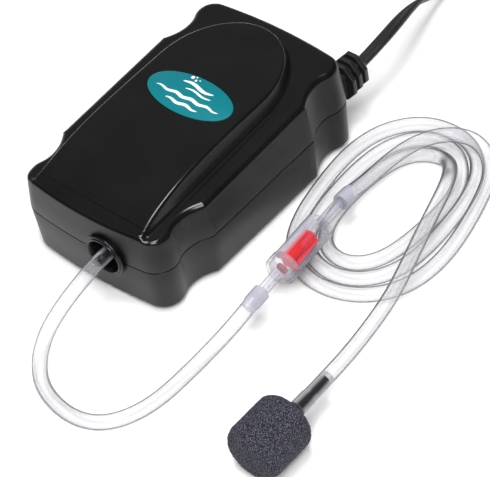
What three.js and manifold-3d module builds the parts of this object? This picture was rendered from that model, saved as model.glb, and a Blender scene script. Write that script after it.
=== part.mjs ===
// Aquarium air pump: a vibrating-armature diaphragm pump in a two-part housing, with its
// clear airline, inline check valve, air stone and mains lead. Millimetres, +Z up.
//
// Everything is placed in the housing's own frame: X across the housing, Y along it with the
// air outlet at -Y and the mains lead at +Y, and Z up from the underside of the lower shell.
// The last group moves that frame so that the origin lies under the middle of the pump, on
// the surface that it stands on.

import * as THREE from 'three';
import { mergeVertices } from 'three/addons/utils/BufferGeometryUtils.js';
import Module from 'manifold-3d';

const wasm = await Module();
wasm.setup();

// ---------------------------------------------------------------- driving dimensions
const LENGTH = 120;
const MID_WIDTH = 76.4;
const COLUMN_WIDTH = 72.3;
const SCOOP_WIDTH = 68.5;
const MID_END = 30;
const SCOOP_Y = 40.9;
const COLUMN_Y = 49.3;
const CORNER_RADIUS = 8.3;
const END_BOW = 1.6;
const WALL = 2.2;
const FLOOR = 2.4;
const BOTTOM_INSET = 1.0;
const BOTTOM_FILLET = 1.2;
const TOP_INSET = 1.2;
const LID_FILLET = 3;
const PARTING_Z = 20.3;
const PARTING_GAP = 0.3;
const LID_Z = 37.9;
const LID_SLOPE = 0.045;
const DOME_TOP = 45.6;
const DOME_HALF_WIDTH = 26;
const DOME_FLARE = 1.3;
const DOME_CENTRE_Y = 17.5;
const DOME_BACK = 33;
const DOME_FRONT = -58.4;
const DOME_DROP = 10.2;
const DOME_DROP_START = 10;
const DOME_DROP_POWER = 3.2;
const FLANK = 1.4;
const GAP = 0.3;
const FOOT_HEIGHT = 2;
const OUTLET = [9.75, PARTING_Z];
const NOZZLE_TIP_Y = -63.3;
const RELIEF_X = 26;
const HOSE_RADIUS = 3;
const HOSE_BORE = 2.35;
const BARB_RADIUS = 1.9;
const MAINS_RADIUS = 2;
const MECHANISM_Z = 18;
const FLOOR_Z = -FOOT_HEIGHT;

// ---------------------------------------------------------------- finishes
const FINISHES = {
  blackGloss: { color: 0x141416, roughness: 0.18, metalness: 0 },
  blackMatt: { color: 0x1a1a1c, roughness: 0.6, metalness: 0 },
  blackRubber: { color: 0x161617, roughness: 0.75, metalness: 0 },
  teal: { color: 0x05838d, roughness: 0.35, metalness: 0 },
  clear: { color: 0xe4e6ec, roughness: 0.08, metalness: 0, transparent: true, opacity: 0.4 },
  red: { color: 0xd90b14, roughness: 0.3, metalness: 0 },
  stone: { color: 0x4a4a58, roughness: 0.95, metalness: 0 },
  steel: { color: 0x9a9ca0, roughness: 0.35, metalness: 1 },
  magnet: { color: 0x3c3c40, roughness: 0.5, metalness: 0.6 },
  brass: { color: 0xb8923f, roughness: 0.3, metalness: 1 },
  copper: { color: 0xa8551f, roughness: 0.35, metalness: 1 },
  ivory: { color: 0xd9d4c2, roughness: 0.5, metalness: 0 },
  felt: { color: 0xcfcabc, roughness: 0.95, metalness: 0 },
};

// ---------------------------------------------------------------- helpers
// A closed, merged body with its faces pointing out, from any closed three.js geometry.
function closed(source) {
  const bare = source.clone();
  bare.deleteAttribute('normal');
  bare.deleteAttribute('uv');
  const merged = mergeVertices(bare, 1e-4);
  const position = merged.getAttribute('position');
  const a = new THREE.Vector3();
  const b = new THREE.Vector3();
  const c = new THREE.Vector3();
  const index = merged.getIndex().array;
  const kept = [];
  let volume = 0;
  for (let i = 0; i < index.length; i += 3) {
    const [p, q, r] = [index[i], index[i + 1], index[i + 2]];
    if (p === q || q === r || r === p) continue;
    kept.push(p, q, r);
    a.fromBufferAttribute(position, p);
    b.fromBufferAttribute(position, q);
    c.fromBufferAttribute(position, r);
    volume += a.dot(b.cross(c)) / 6;
  }
  if (volume < 0) {
    for (let i = 0; i < kept.length; i += 3) [kept[i], kept[i + 1]] = [kept[i + 1], kept[i]];
  }
  merged.setIndex(kept);
  return merged;
}

function toManifold(geometry) {
  const body = closed(geometry);
  return new wasm.Manifold(new wasm.Mesh({
    numProp: 3,
    vertProperties: new Float32Array(body.getAttribute('position').array),
    triVerts: new Uint32Array(body.getIndex().array),
  }));
}

function fromManifold(solid) {
  const mesh = solid.getMesh();
  const geometry = new THREE.BufferGeometry();
  geometry.setAttribute('position', new THREE.BufferAttribute(mesh.vertProperties, 3));
  geometry.setIndex(new THREE.BufferAttribute(mesh.triVerts, 1));
  return geometry;
}

function cut(body, ...tools) {
  return fromManifold(tools.reduce((left, tool) => left.subtract(toManifold(tool)), toManifold(body)));
}

function join(body, ...others) {
  return fromManifold(others.reduce((sum, other) => sum.add(toManifold(other)), toManifold(body)));
}

function block(low, high) {
  const size = high.map((value, i) => value - low[i]);
  const geometry = new THREE.BoxGeometry(...size);
  geometry.translate(...low.map((value, i) => value + size[i] / 2));
  return geometry;
}

// A round body: profile is a list of [radius, distance along the axis].
function turned(profile, from, along, sides = 20) {
  const points = profile.map(([radius, distance]) => new THREE.Vector2(radius, distance));
  const geometry = new THREE.LatheGeometry(points, sides);
  const axis = new THREE.Vector3(...along).normalize();
  const turn = new THREE.Quaternion().setFromUnitVectors(new THREE.Vector3(0, 1, 0), axis);
  geometry.applyQuaternion(turn);
  geometry.translate(...from);
  return closed(geometry);
}

function rod(radius, from, along, length, sides = 20) {
  return turned([[0, 0], [radius, 0], [radius, length], [0, length]], from, along, sides);
}

function pipe(outer, inner, from, along, length, sides = 20) {
  const profile = [[inner, 0], [outer, 0], [outer, length], [inner, length], [inner, 0]];
  return turned(profile, from, along, sides);
}

function polygon(radius, sides) {
  const shape = new THREE.Shape();
  for (let i = 0; i < sides; i += 1) {
    const angle = (2 * Math.PI * i) / sides;
    const point = [radius * Math.cos(angle), radius * Math.sin(angle)];
    if (i === 0) shape.moveTo(...point);
    else shape.lineTo(...point);
  }
  shape.closePath();
  return shape;
}

function alongPath(route, section, steps) {
  const points = route.map((point) => new THREE.Vector3(...point));
  const extrudePath = new THREE.CatmullRomCurve3(points, false, 'centripetal');
  return closed(new THREE.ExtrudeGeometry(section, { steps, bevelEnabled: false, extrudePath }));
}

// A flat outline in X and Z, pushed from y0 to y1.
function plateAlongY(outline, y0, y1) {
  const shape = new THREE.Shape(outline.map(([x, z]) => new THREE.Vector2(x, z)));
  const geometry = new THREE.ExtrudeGeometry(shape, { depth: y1 - y0, bevelEnabled: false });
  geometry.rotateX(Math.PI / 2);
  geometry.translate(0, y1, 0);
  return geometry;
}

// Rings with the same number of points, joined side to side and closed at both ends by a fan.
function loft(rings) {
  const count = rings[0].length;
  const vertices = rings.flat(2);
  const index = [];
  for (let k = 0; k + 1 < rings.length; k += 1) {
    for (let i = 0; i < count; i += 1) {
      const a = k * count + i;
      const b = k * count + ((i + 1) % count);
      index.push(a, b, b + count, a, b + count, a + count);
    }
  }
  const addFan = (ring, start, flipped) => {
    const centre = vertices.length / 3;
    for (let axis = 0; axis < 3; axis += 1) {
      vertices.push(ring.reduce((sum, point) => sum + point[axis], 0) / count);
    }
    for (let i = 0; i < count; i += 1) {
      const a = start + i;
      const b = start + ((i + 1) % count);
      if (flipped) index.push(centre, b, a);
      else index.push(centre, a, b);
    }
  };
  addFan(rings[0], 0, true);
  addFan(rings[rings.length - 1], (rings.length - 1) * count, false);
  const geometry = new THREE.BufferGeometry();
  geometry.setAttribute('position', new THREE.Float32BufferAttribute(vertices, 3));
  geometry.setIndex(index);
  return closed(geometry);
}

const pump = new THREE.Group();

function addPart(name, geometry, finish) {
  const mesh = new THREE.Mesh(closed(geometry), new THREE.MeshStandardMaterial(FINISHES[finish]));
  mesh.name = name;
  pump.add(mesh);
}

// ---------------------------------------------------------------- housing outline
function bezier(p0, p1, p2, p3, count) {
  const curve = new THREE.CubicBezierCurve(
    new THREE.Vector2(...p0),
    new THREE.Vector2(...p1),
    new THREE.Vector2(...p2),
    new THREE.Vector2(...p3),
  );
  return curve.getPoints(count).slice(0, -1).map((point) => [point.x, point.y]);
}

// One quarter from the middle of the back end to the middle of the +X side: the bowed end, the
// rounded corner, the corner column, the scoop beside it and the straight middle.
function quarterOutline() {
  const halfLength = LENGTH / 2;
  const endX = COLUMN_WIDTH / 2 - CORNER_RADIUS;
  const endSlope = (-2 * END_BOW) / endX;
  const reach = 0.56;
  const corner = [endX, halfLength - END_BOW];
  const column = [COLUMN_WIDTH / 2, COLUMN_Y];
  const scoop = [SCOOP_WIDTH / 2, SCOOP_Y];
  const shoulder = [MID_WIDTH / 2, MID_END];
  const scoopDepth = (MID_WIDTH - SCOOP_WIDTH) / 2;
  const points = [];
  const endSteps = 4;
  for (let i = 0; i < endSteps; i += 1) {
    const x = (endX * i) / endSteps;
    points.push([x, halfLength - END_BOW * (x / endX) ** 2]);
  }
  points.push(...bezier(
    corner,
    [corner[0] + CORNER_RADIUS * reach, corner[1] + endSlope * CORNER_RADIUS * reach],
    [column[0], column[1] + (corner[1] - column[1]) * reach],
    column,
    5,
  ));
  points.push(...bezier(
    column,
    [column[0], column[1] - (column[1] - scoop[1]) * 0.45],
    [scoop[0], scoop[1] + (column[1] - scoop[1]) * 0.5],
    scoop,
    4,
  ));
  points.push(...bezier(
    scoop,
    [scoop[0], scoop[1] - (scoop[1] - shoulder[1]) * 0.5],
    [shoulder[0] - scoopDepth * 0.36, shoulder[1] + (scoop[1] - shoulder[1]) * 0.25],
    shoulder,
    5,
  ));
  points.push(shoulder, [shoulder[0], 0]);
  return points;
}

function housingOutline() {
  const quarter = quarterOutline();
  const backwards = [...quarter].reverse();
  return [
    ...quarter,
    ...backwards.slice(1).map(([x, y]) => [x, -y]),
    ...quarter.slice(1).map(([x, y]) => [-x, -y]),
    ...backwards.slice(1, -1).map(([x, y]) => [-x, y]),
  ];
}

const OUTLINE = housingOutline();

// The outline moved inwards by inset, at a height that may depend on y.
function ring(inset, heightAt) {
  return OUTLINE.map(([x, y], i) => {
    const next = OUTLINE[(i + 1) % OUTLINE.length];
    const last = OUTLINE[(i + OUTLINE.length - 1) % OUTLINE.length];
    const tangent = [next[0] - last[0], next[1] - last[1]];
    const size = Math.hypot(...tangent);
    const px = x + (inset * tangent[1]) / size;
    const py = y - (inset * tangent[0]) / size;
    return [px, py, heightAt(py)];
  });
}

const flat = (z) => () => z;
const lid = (below = 0) => (y) => LID_Z + LID_SLOPE * y - below;

// ---------------------------------------------------------------- housing
const SCREW_PLACES = [[-28, -48], [28, -48], [-28, 48], [12, 50.5]];
const FOOT_PLACES = [[-25, -33], [25, -33], [-25, 33], [25, 33]];
const SCREW_RADIUS = 1.4;
const SCREW_HEAD_RADIUS = 2.7;
const HEAD_SEAT_Z = 3.4;
const BOSS_RADIUS = 3.9;
const FOOT_STEM_RADIUS = 1.7;
const COLLAR_BORE = 7.05;
const COLLAR_RADIUS = 8.2;
const COLLAR_FLANGE_RADIUS = 9.6;
const COLLAR_FRONT_Y = -61.4;
const COLLAR_BACK_Y = -51;
const NECK_HALF_WIDTH = 3.6;
const NECK_HALF_HEIGHT = 5.2;
const FILTER_PLACE = [-22, 10];
const FILTER_HALF = 8.5;

const collarHole = () => rod(COLLAR_RADIUS + GAP, [OUTLET[0], -66, OUTLET[1]], [0, 1, 0], 12, 24);

const reliefHole = () => block(
  [RELIEF_X - NECK_HALF_WIDTH - GAP, 53, PARTING_Z - NECK_HALF_HEIGHT - GAP],
  [RELIEF_X + NECK_HALF_WIDTH + GAP, 66, PARTING_Z + NECK_HALF_HEIGHT + GAP],
);

function lowerShell() {
  const rimZ = PARTING_Z - PARTING_GAP / 2;
  const tub = loft([
    ring(BOTTOM_INSET + BOTTOM_FILLET, flat(0)),
    ring(BOTTOM_INSET + BOTTOM_FILLET * 0.3, flat(BOTTOM_FILLET * 0.35)),
    ring(BOTTOM_INSET, flat(BOTTOM_FILLET)),
    ring(0, flat(rimZ)),
    ring(WALL, flat(rimZ)),
    ring(WALL + BOTTOM_INSET, flat(FLOOR)),
  ]);
  const bosses = SCREW_PLACES.map(([x, y]) => rod(BOSS_RADIUS, [x, y, 1], [0, 0, 1], 18.6, 14));
  const holes = SCREW_PLACES.flatMap(([x, y]) => [
    rod(SCREW_RADIUS + GAP, [x, y, -1], [0, 0, 1], 24, 12),
    rod(SCREW_HEAD_RADIUS + GAP, [x, y, -1], [0, 0, 1], HEAD_SEAT_Z + 1, 14),
  ]);
  const stems = FOOT_PLACES.map(([x, y]) => rod(FOOT_STEM_RADIUS + GAP, [x, y, -1], [0, 0, 1], 6, 12));
  const [fx, fy] = FILTER_PLACE;
  const filterHole = block([fx - FILTER_HALF, fy - FILTER_HALF, -1], [fx + FILTER_HALF, fy + FILTER_HALF, 4]);
  return cut(join(tub, ...bosses), ...holes, ...stems, filterHole, collarHole(), reliefHole());
}

function domeTopAt(y) {
  const reach = Math.max(0, (DOME_DROP_START - y) / (DOME_DROP_START - DOME_FRONT));
  return DOME_TOP - DOME_DROP * reach ** DOME_DROP_POWER;
}

// The dome's plateau with sloping flanks: straight sides that flare a little towards the front,
// and a half ellipse round the back. Smaller by inset all round, and lower by inset.
function dome(inset, baseZ) {
  const section = (halfWidth, y, footHalfWidth, footY) => {
    const top = domeTopAt(y) - inset;
    return [
      [-footHalfWidth, footY, baseZ],
      [-halfWidth, y, top],
      [halfWidth, y, top],
      [footHalfWidth, footY, baseZ],
    ];
  };
  const sections = [];
  const front = DOME_FRONT + inset;
  const straightSteps = 9;
  for (let i = 0; i < straightSteps; i += 1) {
    const t = i / straightSteps;
    const y = front + (DOME_CENTRE_Y - front) * t;
    const halfWidth = DOME_HALF_WIDTH + DOME_FLARE * (1 - t) ** 2 - inset;
    sections.push(section(halfWidth, y, halfWidth + FLANK, y));
  }
  const roundSteps = 9;
  for (let i = 0; i <= roundSteps; i += 1) {
    const angle = THREE.MathUtils.degToRad(87 * Math.sin((Math.PI / 2) * (i / roundSteps)));
    const x = (radius) => radius * Math.cos(angle);
    const y = (radius) => DOME_CENTRE_Y + radius * Math.sin(angle);
    const across = DOME_HALF_WIDTH - inset;
    const back = DOME_BACK - inset;
    sections.push(section(x(across), y(back), x(across + FLANK), y(back + FLANK)));
  }
  return loft(sections);
}

const LABEL_CENTRE = [0.6, 5.2];
const LABEL_HALF = [20.3, 9.9];
const LABEL_RECESS = 0.5;
const LABEL_THICKNESS = 0.4;

function ellipsePlate(halfX, halfY, z0, z1, centre) {
  const shape = new THREE.Shape();
  shape.absellipse(centre[0], centre[1], halfX, halfY, 0, 2 * Math.PI);
  const options = { depth: z1 - z0, bevelEnabled: false, curveSegments: 16 };
  const geometry = new THREE.ExtrudeGeometry(shape, options);
  geometry.translate(0, 0, z0);
  return geometry;
}

function upperShell() {
  const rimZ = PARTING_Z + PARTING_GAP / 2;
  const filletRing = (degrees) => {
    const angle = THREE.MathUtils.degToRad(degrees);
    const inwards = LID_FILLET * (1 - Math.cos(angle));
    return ring(TOP_INSET + inwards, lid(LID_FILLET * (1 - Math.sin(angle))));
  };
  const cap = loft([
    ring(TOP_INSET + WALL + 1.6, lid(WALL)),
    ring(TOP_INSET + WALL, lid(LID_FILLET)),
    ring(WALL, flat(rimZ)),
    ring(0, flat(rimZ)),
    ...[0, 30, 60, 90].map(filletRing),
  ]);
  const bossZ = 20.8;
  const bosses = SCREW_PLACES.map(([x, y]) => {
    return rod(BOSS_RADIUS, [x, y, bossZ], [0, 0, 1], lid(1.5)(y) - bossZ, 14);
  });
  const bossHoles = SCREW_PLACES.map(([x, y]) => rod(SCREW_RADIUS + GAP, [x, y, 20], [0, 0, 1], 11, 12));
  const [halfX, halfY] = LABEL_HALF;
  const labelFloor = DOME_TOP - LABEL_RECESS;
  const labelSeat = ellipsePlate(halfX + GAP, halfY + GAP, labelFloor, DOME_TOP + 2, LABEL_CENTRE);
  const hollow = dome(WALL, LID_Z - WALL - 4);
  const solid = join(cap, dome(0, LID_Z - 4), ...bosses);
  return cut(solid, hollow, ...bossHoles, labelSeat, collarHole(), reliefHole());
}

function labelBadge() {
  const [halfX, halfY] = LABEL_HALF;
  const bottom = DOME_TOP - LABEL_RECESS + GAP;
  return ellipsePlate(halfX, halfY, bottom, bottom + LABEL_THICKNESS, LABEL_CENTRE);
}

function addHousing() {
  addPart('lower_shell', lowerShell(), 'blackGloss');
  addPart('upper_shell', upperShell(), 'blackGloss');
  addPart('label_badge', labelBadge(), 'teal');
  FOOT_PLACES.forEach(([x, y], i) => {
    const profile = [
      [0, 0],
      [5, 0],
      [5.5, 0.5],
      [5.5, FOOT_HEIGHT - GAP],
      [FOOT_STEM_RADIUS, FOOT_HEIGHT - GAP],
      [FOOT_STEM_RADIUS, 4.7],
      [2.6, 4.7],
      [1.8, 6.2],
      [0, 6.2],
    ];
    addPart(`rubber_foot_${i + 1}`, turned(profile, [x, y, FLOOR_Z], [0, 0, 1], 18), 'blackRubber');
  });
  SCREW_PLACES.forEach(([x, y], i) => {
    const profile = [[0, 0], [SCREW_HEAD_RADIUS, 0], [SCREW_HEAD_RADIUS, 1.6], [SCREW_RADIUS, 1.6]];
    profile.push([SCREW_RADIUS, 26], [0, 27]);
    const from = [x, y, HEAD_SEAT_Z - 1.6 - GAP];
    addPart(`housing_screw_${i + 1}`, turned(profile, from, [0, 0, 1], 10), 'steel');
  });
}

function addFilter() {
  const [x, y] = FILTER_PLACE;
  const half = FILTER_HALF - GAP;
  const slots = [-4.5, -1.5, 1.5, 4.5].map((offset) => block(
    [x - 6, y + offset - 0.7, -1],
    [x + 6, y + offset + 0.7, 4],
  ));
  const cover = block([x - half, y - half, 0.2], [x + half, y + half, 1.8]);
  addPart('filter_cover', cut(cover, ...slots), 'blackMatt');
  const felt = block([x - half, y - half, 2.1], [x + half, y + half, 5.1]);
  addPart('air_filter_felt', felt, 'felt');
}

// ---------------------------------------------------------------- air outlet
function addOutlet() {
  const [x, z] = OUTLET;
  const length = COLLAR_BACK_Y - COLLAR_FRONT_Y;
  const flange = 1.1;
  const wall = 1.6;
  const collar = [
    [2.3, length - wall],
    [COLLAR_BORE, length - wall],
    [COLLAR_BORE, 0],
    [COLLAR_RADIUS, 0],
    [COLLAR_RADIUS + 0.3, 0.4],
    [COLLAR_FLANGE_RADIUS, 0.5],
    [COLLAR_FLANGE_RADIUS, flange],
    [COLLAR_RADIUS, flange],
    [COLLAR_RADIUS, length],
    [2.3, length],
    [2.3, length - wall],
  ];
  addPart('outlet_collar', turned(collar, [x, COLLAR_FRONT_Y, z], [0, 1, 0], 28), 'blackGloss');
  const shank = -NOZZLE_TIP_Y + COLLAR_BACK_Y + GAP;
  const nozzle = [
    [1, 0],
    [1.4, 0],
    [BARB_RADIUS, 1.8],
    [1.6, 2.2],
    [BARB_RADIUS, 4.4],
    [BARB_RADIUS, shank],
    [4.2, shank],
    [4.2, shank + 1.5],
    [BARB_RADIUS, shank + 1.5],
    [BARB_RADIUS, shank + 4.5],
    [1, shank + 4.5],
    [1, 0],
  ];
  addPart('outlet_nozzle', turned(nozzle, [x, NOZZLE_TIP_Y, z], [0, 1, 0], 16), 'blackMatt');
}

// ---------------------------------------------------------------- strain relief and mains lead
const RIB_OUTER_Y = 71.2;
const RIB_PITCH = 3.9;
const RIB_THICKNESS = 2;
const RIB_HALF_WIDTH = 6.6;
const RIB_HALF_HEIGHT = 8.1;
const RELIEF_NOSE = 3;
const RELIEF_INNER_Y = 53;

function octagon(halfWidth, halfHeight, cutX, cutZ) {
  const corners = [];
  [[1, 1], [-1, 1], [-1, -1], [1, -1]].forEach(([sx, sz]) => {
    const side = [RELIEF_X + sx * halfWidth, PARTING_Z + sz * (halfHeight - cutZ)];
    const end = [RELIEF_X + sx * (halfWidth - cutX), PARTING_Z + sz * halfHeight];
    if (sx * sz > 0) corners.push(side, end);
    else corners.push(end, side);
  });
  return corners;
}

function strainRelief() {
  const neckOutline = octagon(NECK_HALF_WIDTH, NECK_HALF_HEIGHT, 0.6, 0.6);
  const neck = plateAlongY(neckOutline, RELIEF_INNER_Y, RIB_OUTER_Y - 0.5);
  const clip = plateAlongY(octagon(4.4, 6.2, 1, 1), RELIEF_INNER_Y - 1, RELIEF_INNER_Y + 1.2);
  const ribs = [0, 1, 2].map((i) => {
    const outer = RIB_OUTER_Y - i * RIB_PITCH;
    const grow = i * 0.2;
    const outline = octagon(RIB_HALF_WIDTH + grow, RIB_HALF_HEIGHT + grow, 4.2, 5);
    return plateAlongY(outline, outer - RIB_THICKNESS, outer);
  });
  const nose = turned(
    [[0, 0], [4.2, 0], [3.2, RELIEF_NOSE + 0.4], [0, RELIEF_NOSE + 0.4]],
    [RELIEF_X, RIB_OUTER_Y - 0.4, PARTING_Z],
    [0, 1, 0],
    12,
  );
  return join(neck, clip, ...ribs, nose);
}

const MAINS_COIL_CENTRE = [-18, 172];
const MAINS_COIL_RADIUS = 29;
const MAINS_COIL_HALF_WIDTH = 5.6;
const MAINS_COIL_HEIGHT = 11;
const RELIEF_EXIT_Y = RIB_OUTER_Y + RELIEF_NOSE + GAP;
const MAINS_ROUTE = [
  [RELIEF_X, RELIEF_EXIT_Y, PARTING_Z],
  [25.9, 80, 20.5],
  [25.7, 85.5, 20.9],
  [25.3, 91, 21],
  [24.5, 97, 20.7],
  [23.3, 103, 19.9],
  [21.8, 109, 18.4],
  [20.1, 115, 16.2],
  [18.4, 121, 13.4],
  [16.9, 127, 10.3],
  [15.6, 133, 7.1],
  [14.7, 139, 4.2],
  [14.2, 144.5, 2.1],
  [13.9, 149.5, 1.1],
  [13.9, 153.8, 0.8],
];
const PLUG_REAR = [-53.8, 152];
const PLUG_LENGTH = 24;
const PLUG_HALF_WIDTH = 11.5;
const PLUG_HALF_HEIGHT = 6.5;
const BLADE_LENGTH = 17;
const BLADE_SPACING = 12.7;
const PLUG_Z = FLOOR_Z + PLUG_HALF_HEIGHT;
const PLUG_LEAD_ROUTE = [
  [-52.7, 160, 7],
  [-53.4, 156.4, 5.6],
  [PLUG_REAR[0], PLUG_REAR[1] + 2 * GAP, PLUG_Z],
];

// A strap over the coil, with its two legs standing on the surface beside the turns.
function cordTie() {
  const [cx, cy] = MAINS_COIL_CENTRE;
  const skin = 1.3;
  const halfWidth = 2.5;
  const clear = MAINS_COIL_HALF_WIDTH + GAP + 0.2;
  const middle = cy + MAINS_COIL_RADIUS;
  const top = FLOOR_Z + MAINS_COIL_HEIGHT + GAP;
  const outside = block(
    [cx - halfWidth, middle - clear - skin, FLOOR_Z],
    [cx + halfWidth, middle + clear + skin, top + skin],
  );
  const inside = block(
    [cx - halfWidth - 1, middle - clear, FLOOR_Z - 1],
    [cx + halfWidth + 1, middle + clear, top],
  );
  return cut(outside, inside);
}

// The two-blade plug lies on its broad side beside the coil, with its blades pointing to -Y.
function plugBody() {
  const [x, rear] = PLUG_REAR;
  const slice = (y, halfWidth, halfHeight) => {
    const soft = halfHeight * 0.35;
    return [
      [x - halfWidth, y, PLUG_Z - halfHeight + soft],
      [x - halfWidth, y, PLUG_Z + halfHeight - soft],
      [x - halfWidth + soft, y, PLUG_Z + halfHeight],
      [x + halfWidth - soft, y, PLUG_Z + halfHeight],
      [x + halfWidth, y, PLUG_Z + halfHeight - soft],
      [x + halfWidth, y, PLUG_Z - halfHeight + soft],
      [x + halfWidth - soft, y, PLUG_Z - halfHeight],
      [x - halfWidth + soft, y, PLUG_Z - halfHeight],
    ];
  };
  return loft([
    slice(rear, 3.6, 2.6),
    slice(rear - 6, 4.4, 3.4),
    slice(rear - 9, PLUG_HALF_WIDTH * 0.75, PLUG_HALF_HEIGHT * 0.85),
    slice(rear - 14, PLUG_HALF_WIDTH, PLUG_HALF_HEIGHT),
    slice(rear - PLUG_LENGTH + 1, PLUG_HALF_WIDTH, PLUG_HALF_HEIGHT),
    slice(rear - PLUG_LENGTH, PLUG_HALF_WIDTH - 0.7, PLUG_HALF_HEIGHT - 0.7),
  ]);
}

function addMains() {
  const [cx, cy] = MAINS_COIL_CENTRE;
  const inner = MAINS_COIL_RADIUS - MAINS_COIL_HALF_WIDTH;
  const outer = MAINS_COIL_RADIUS + MAINS_COIL_HALF_WIDTH;
  const coil = pipe(outer, inner, [cx, cy, FLOOR_Z], [0, 0, 1], MAINS_COIL_HEIGHT, 40);
  const face = PLUG_REAR[1] - PLUG_LENGTH - GAP;
  addPart('strain_relief', strainRelief(), 'blackRubber');
  addPart('mains_cord', alongPath(MAINS_ROUTE, polygon(MAINS_RADIUS, 8), 16), 'blackRubber');
  addPart('mains_cord_coil', coil, 'blackRubber');
  addPart('cord_tie', cordTie(), 'blackMatt');
  addPart('plug_lead', alongPath(PLUG_LEAD_ROUTE, polygon(MAINS_RADIUS, 8), 2), 'blackRubber');
  addPart('plug_body', plugBody(), 'blackRubber');
  [-0.5, 0.5].forEach((side, i) => {
    const x = PLUG_REAR[0] + side * BLADE_SPACING;
    const blade = block([x - 0.75, face - BLADE_LENGTH, PLUG_Z - 3.15], [x + 0.75, face, PLUG_Z + 3.15]);
    addPart(`plug_blade_${i + 1}`, blade, 'brass');
  });
}

// ---------------------------------------------------------------- airline, valve and air stone
const HOSE_ON_FLOOR = FLOOR_Z + HOSE_RADIUS + 0.05;
const VALVE_Z = 10.8;
const VALVE_LOW_END = [64.2, -25, VALVE_Z];
const VALVE_AXIS = [-0.0802, 0.9968, 0];
const VALVE_LOWER_BARB = 10.6;
const VALVE_UPPER_BARB = 13.5;
const BARB_IN_HOSE = 7;
const VALVE_LENGTH = 28.5;
const CAP_RADIUS = 6.35;
const BODY_RADIUS = 6;
const BODY_BORE = 5.2;
const CAP_LENGTH = 5.7;
const AIR_BORE = 1;
const FLAP_REST = 2.7;
const STONE_X = 111.6;
const STONE_TOP_Y = -74.6;
const STONE_LENGTH = 24.7;
const STONE_RADIUS = 12;
const STONE_BARB_LENGTH = 17;

const onValveAxis = (distance) => VALVE_LOW_END.map((value, i) => value + VALVE_AXIS[i] * distance);
const LOWER_HOSE_END = onValveAxis(-VALVE_LOWER_BARB);
const UPPER_HOSE_END = onValveAxis(VALVE_LENGTH + VALVE_UPPER_BARB);
const STONE_HOSE_END = [STONE_X, STONE_TOP_Y + 3.6, FLOOR_Z + STONE_RADIUS];

const OUTLET_HOSE_ROUTE = [
  [OUTLET[0], -56, OUTLET[1]],
  [9.7, -64, 20.2],
  [9.4, -73, 18.2],
  [9, -83.5, 14.8],
  [8.8, -93, 10],
  [10.4, -100, 6.2],
  [13.2, -105, 3.6],
  [18.5, -110, 1.6],
  [28.3, -114.1, HOSE_ON_FLOOR],
  [39.8, -115.3, HOSE_ON_FLOOR],
  [48.4, -112.8, HOSE_ON_FLOOR],
  [54.3, -107.4, HOSE_ON_FLOOR],
  [58.6, -98.9, HOSE_ON_FLOOR],
  [60.8, -89, 1.2],
  [62, -76, 2.2],
  [63.2, -64.3, 4.2],
  [64.7, -53, 7.4],
  [65.4, -46.5, 9.6],
  onValveAxis(-VALVE_LOWER_BARB - BARB_IN_HOSE + 1),
  LOWER_HOSE_END,
];

const COIL_LEAD_ROUTE = [
  UPPER_HOSE_END,
  onValveAxis(VALVE_LENGTH + VALVE_UPPER_BARB + 5),
  [60.8, 29, 9.4],
  [60.5, 37, 8.3],
  [60.4, 46, 7.6],
  [61.2, 54, 7.4],
  [63.4, 61.6, 7.4],
  [67.5, 68.2, 7.4],
  [73.4, 72.9, 7.4],
];

const STONE_HOSE_ROUTE = [
  [88, 46, 7.4],
  [92, 33, 7.6],
  [96.6, 18.6, 7.6],
  [101.2, 4.4, 7.6],
  [104.8, -8, 7.5],
  [107.6, -24, 7.6],
  [109.5, -38, 8.2],
  [110.7, -48.5, 9.3],
  [111.3, -56, 9.9],
  [111.5, -62, STONE_HOSE_END[2]],
  STONE_HOSE_END,
];

function hoseSection() {
  const section = polygon(HOSE_RADIUS, 10);
  section.holes.push(polygon(HOSE_BORE, 10));
  return section;
}

// The loosely laid coil of airline: one oval ring in the turns' outer shape.
function hoseCoil() {
  const ring2d = new THREE.Shape();
  ring2d.absellipse(72.2, 34.6, 33.2, 50, 0, 2 * Math.PI, false, THREE.MathUtils.degToRad(8.3));
  const inside = new THREE.Path();
  inside.absellipse(72.9, 32.2, 14.6, 31, 0, 2 * Math.PI, true, 0);
  ring2d.holes.push(inside);
  const options = { depth: 2 * HOSE_RADIUS, bevelEnabled: false, curveSegments: 20 };
  const geometry = new THREE.ExtrudeGeometry(ring2d, options);
  geometry.translate(0, 0, FLOOR_Z);
  return geometry;
}

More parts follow.
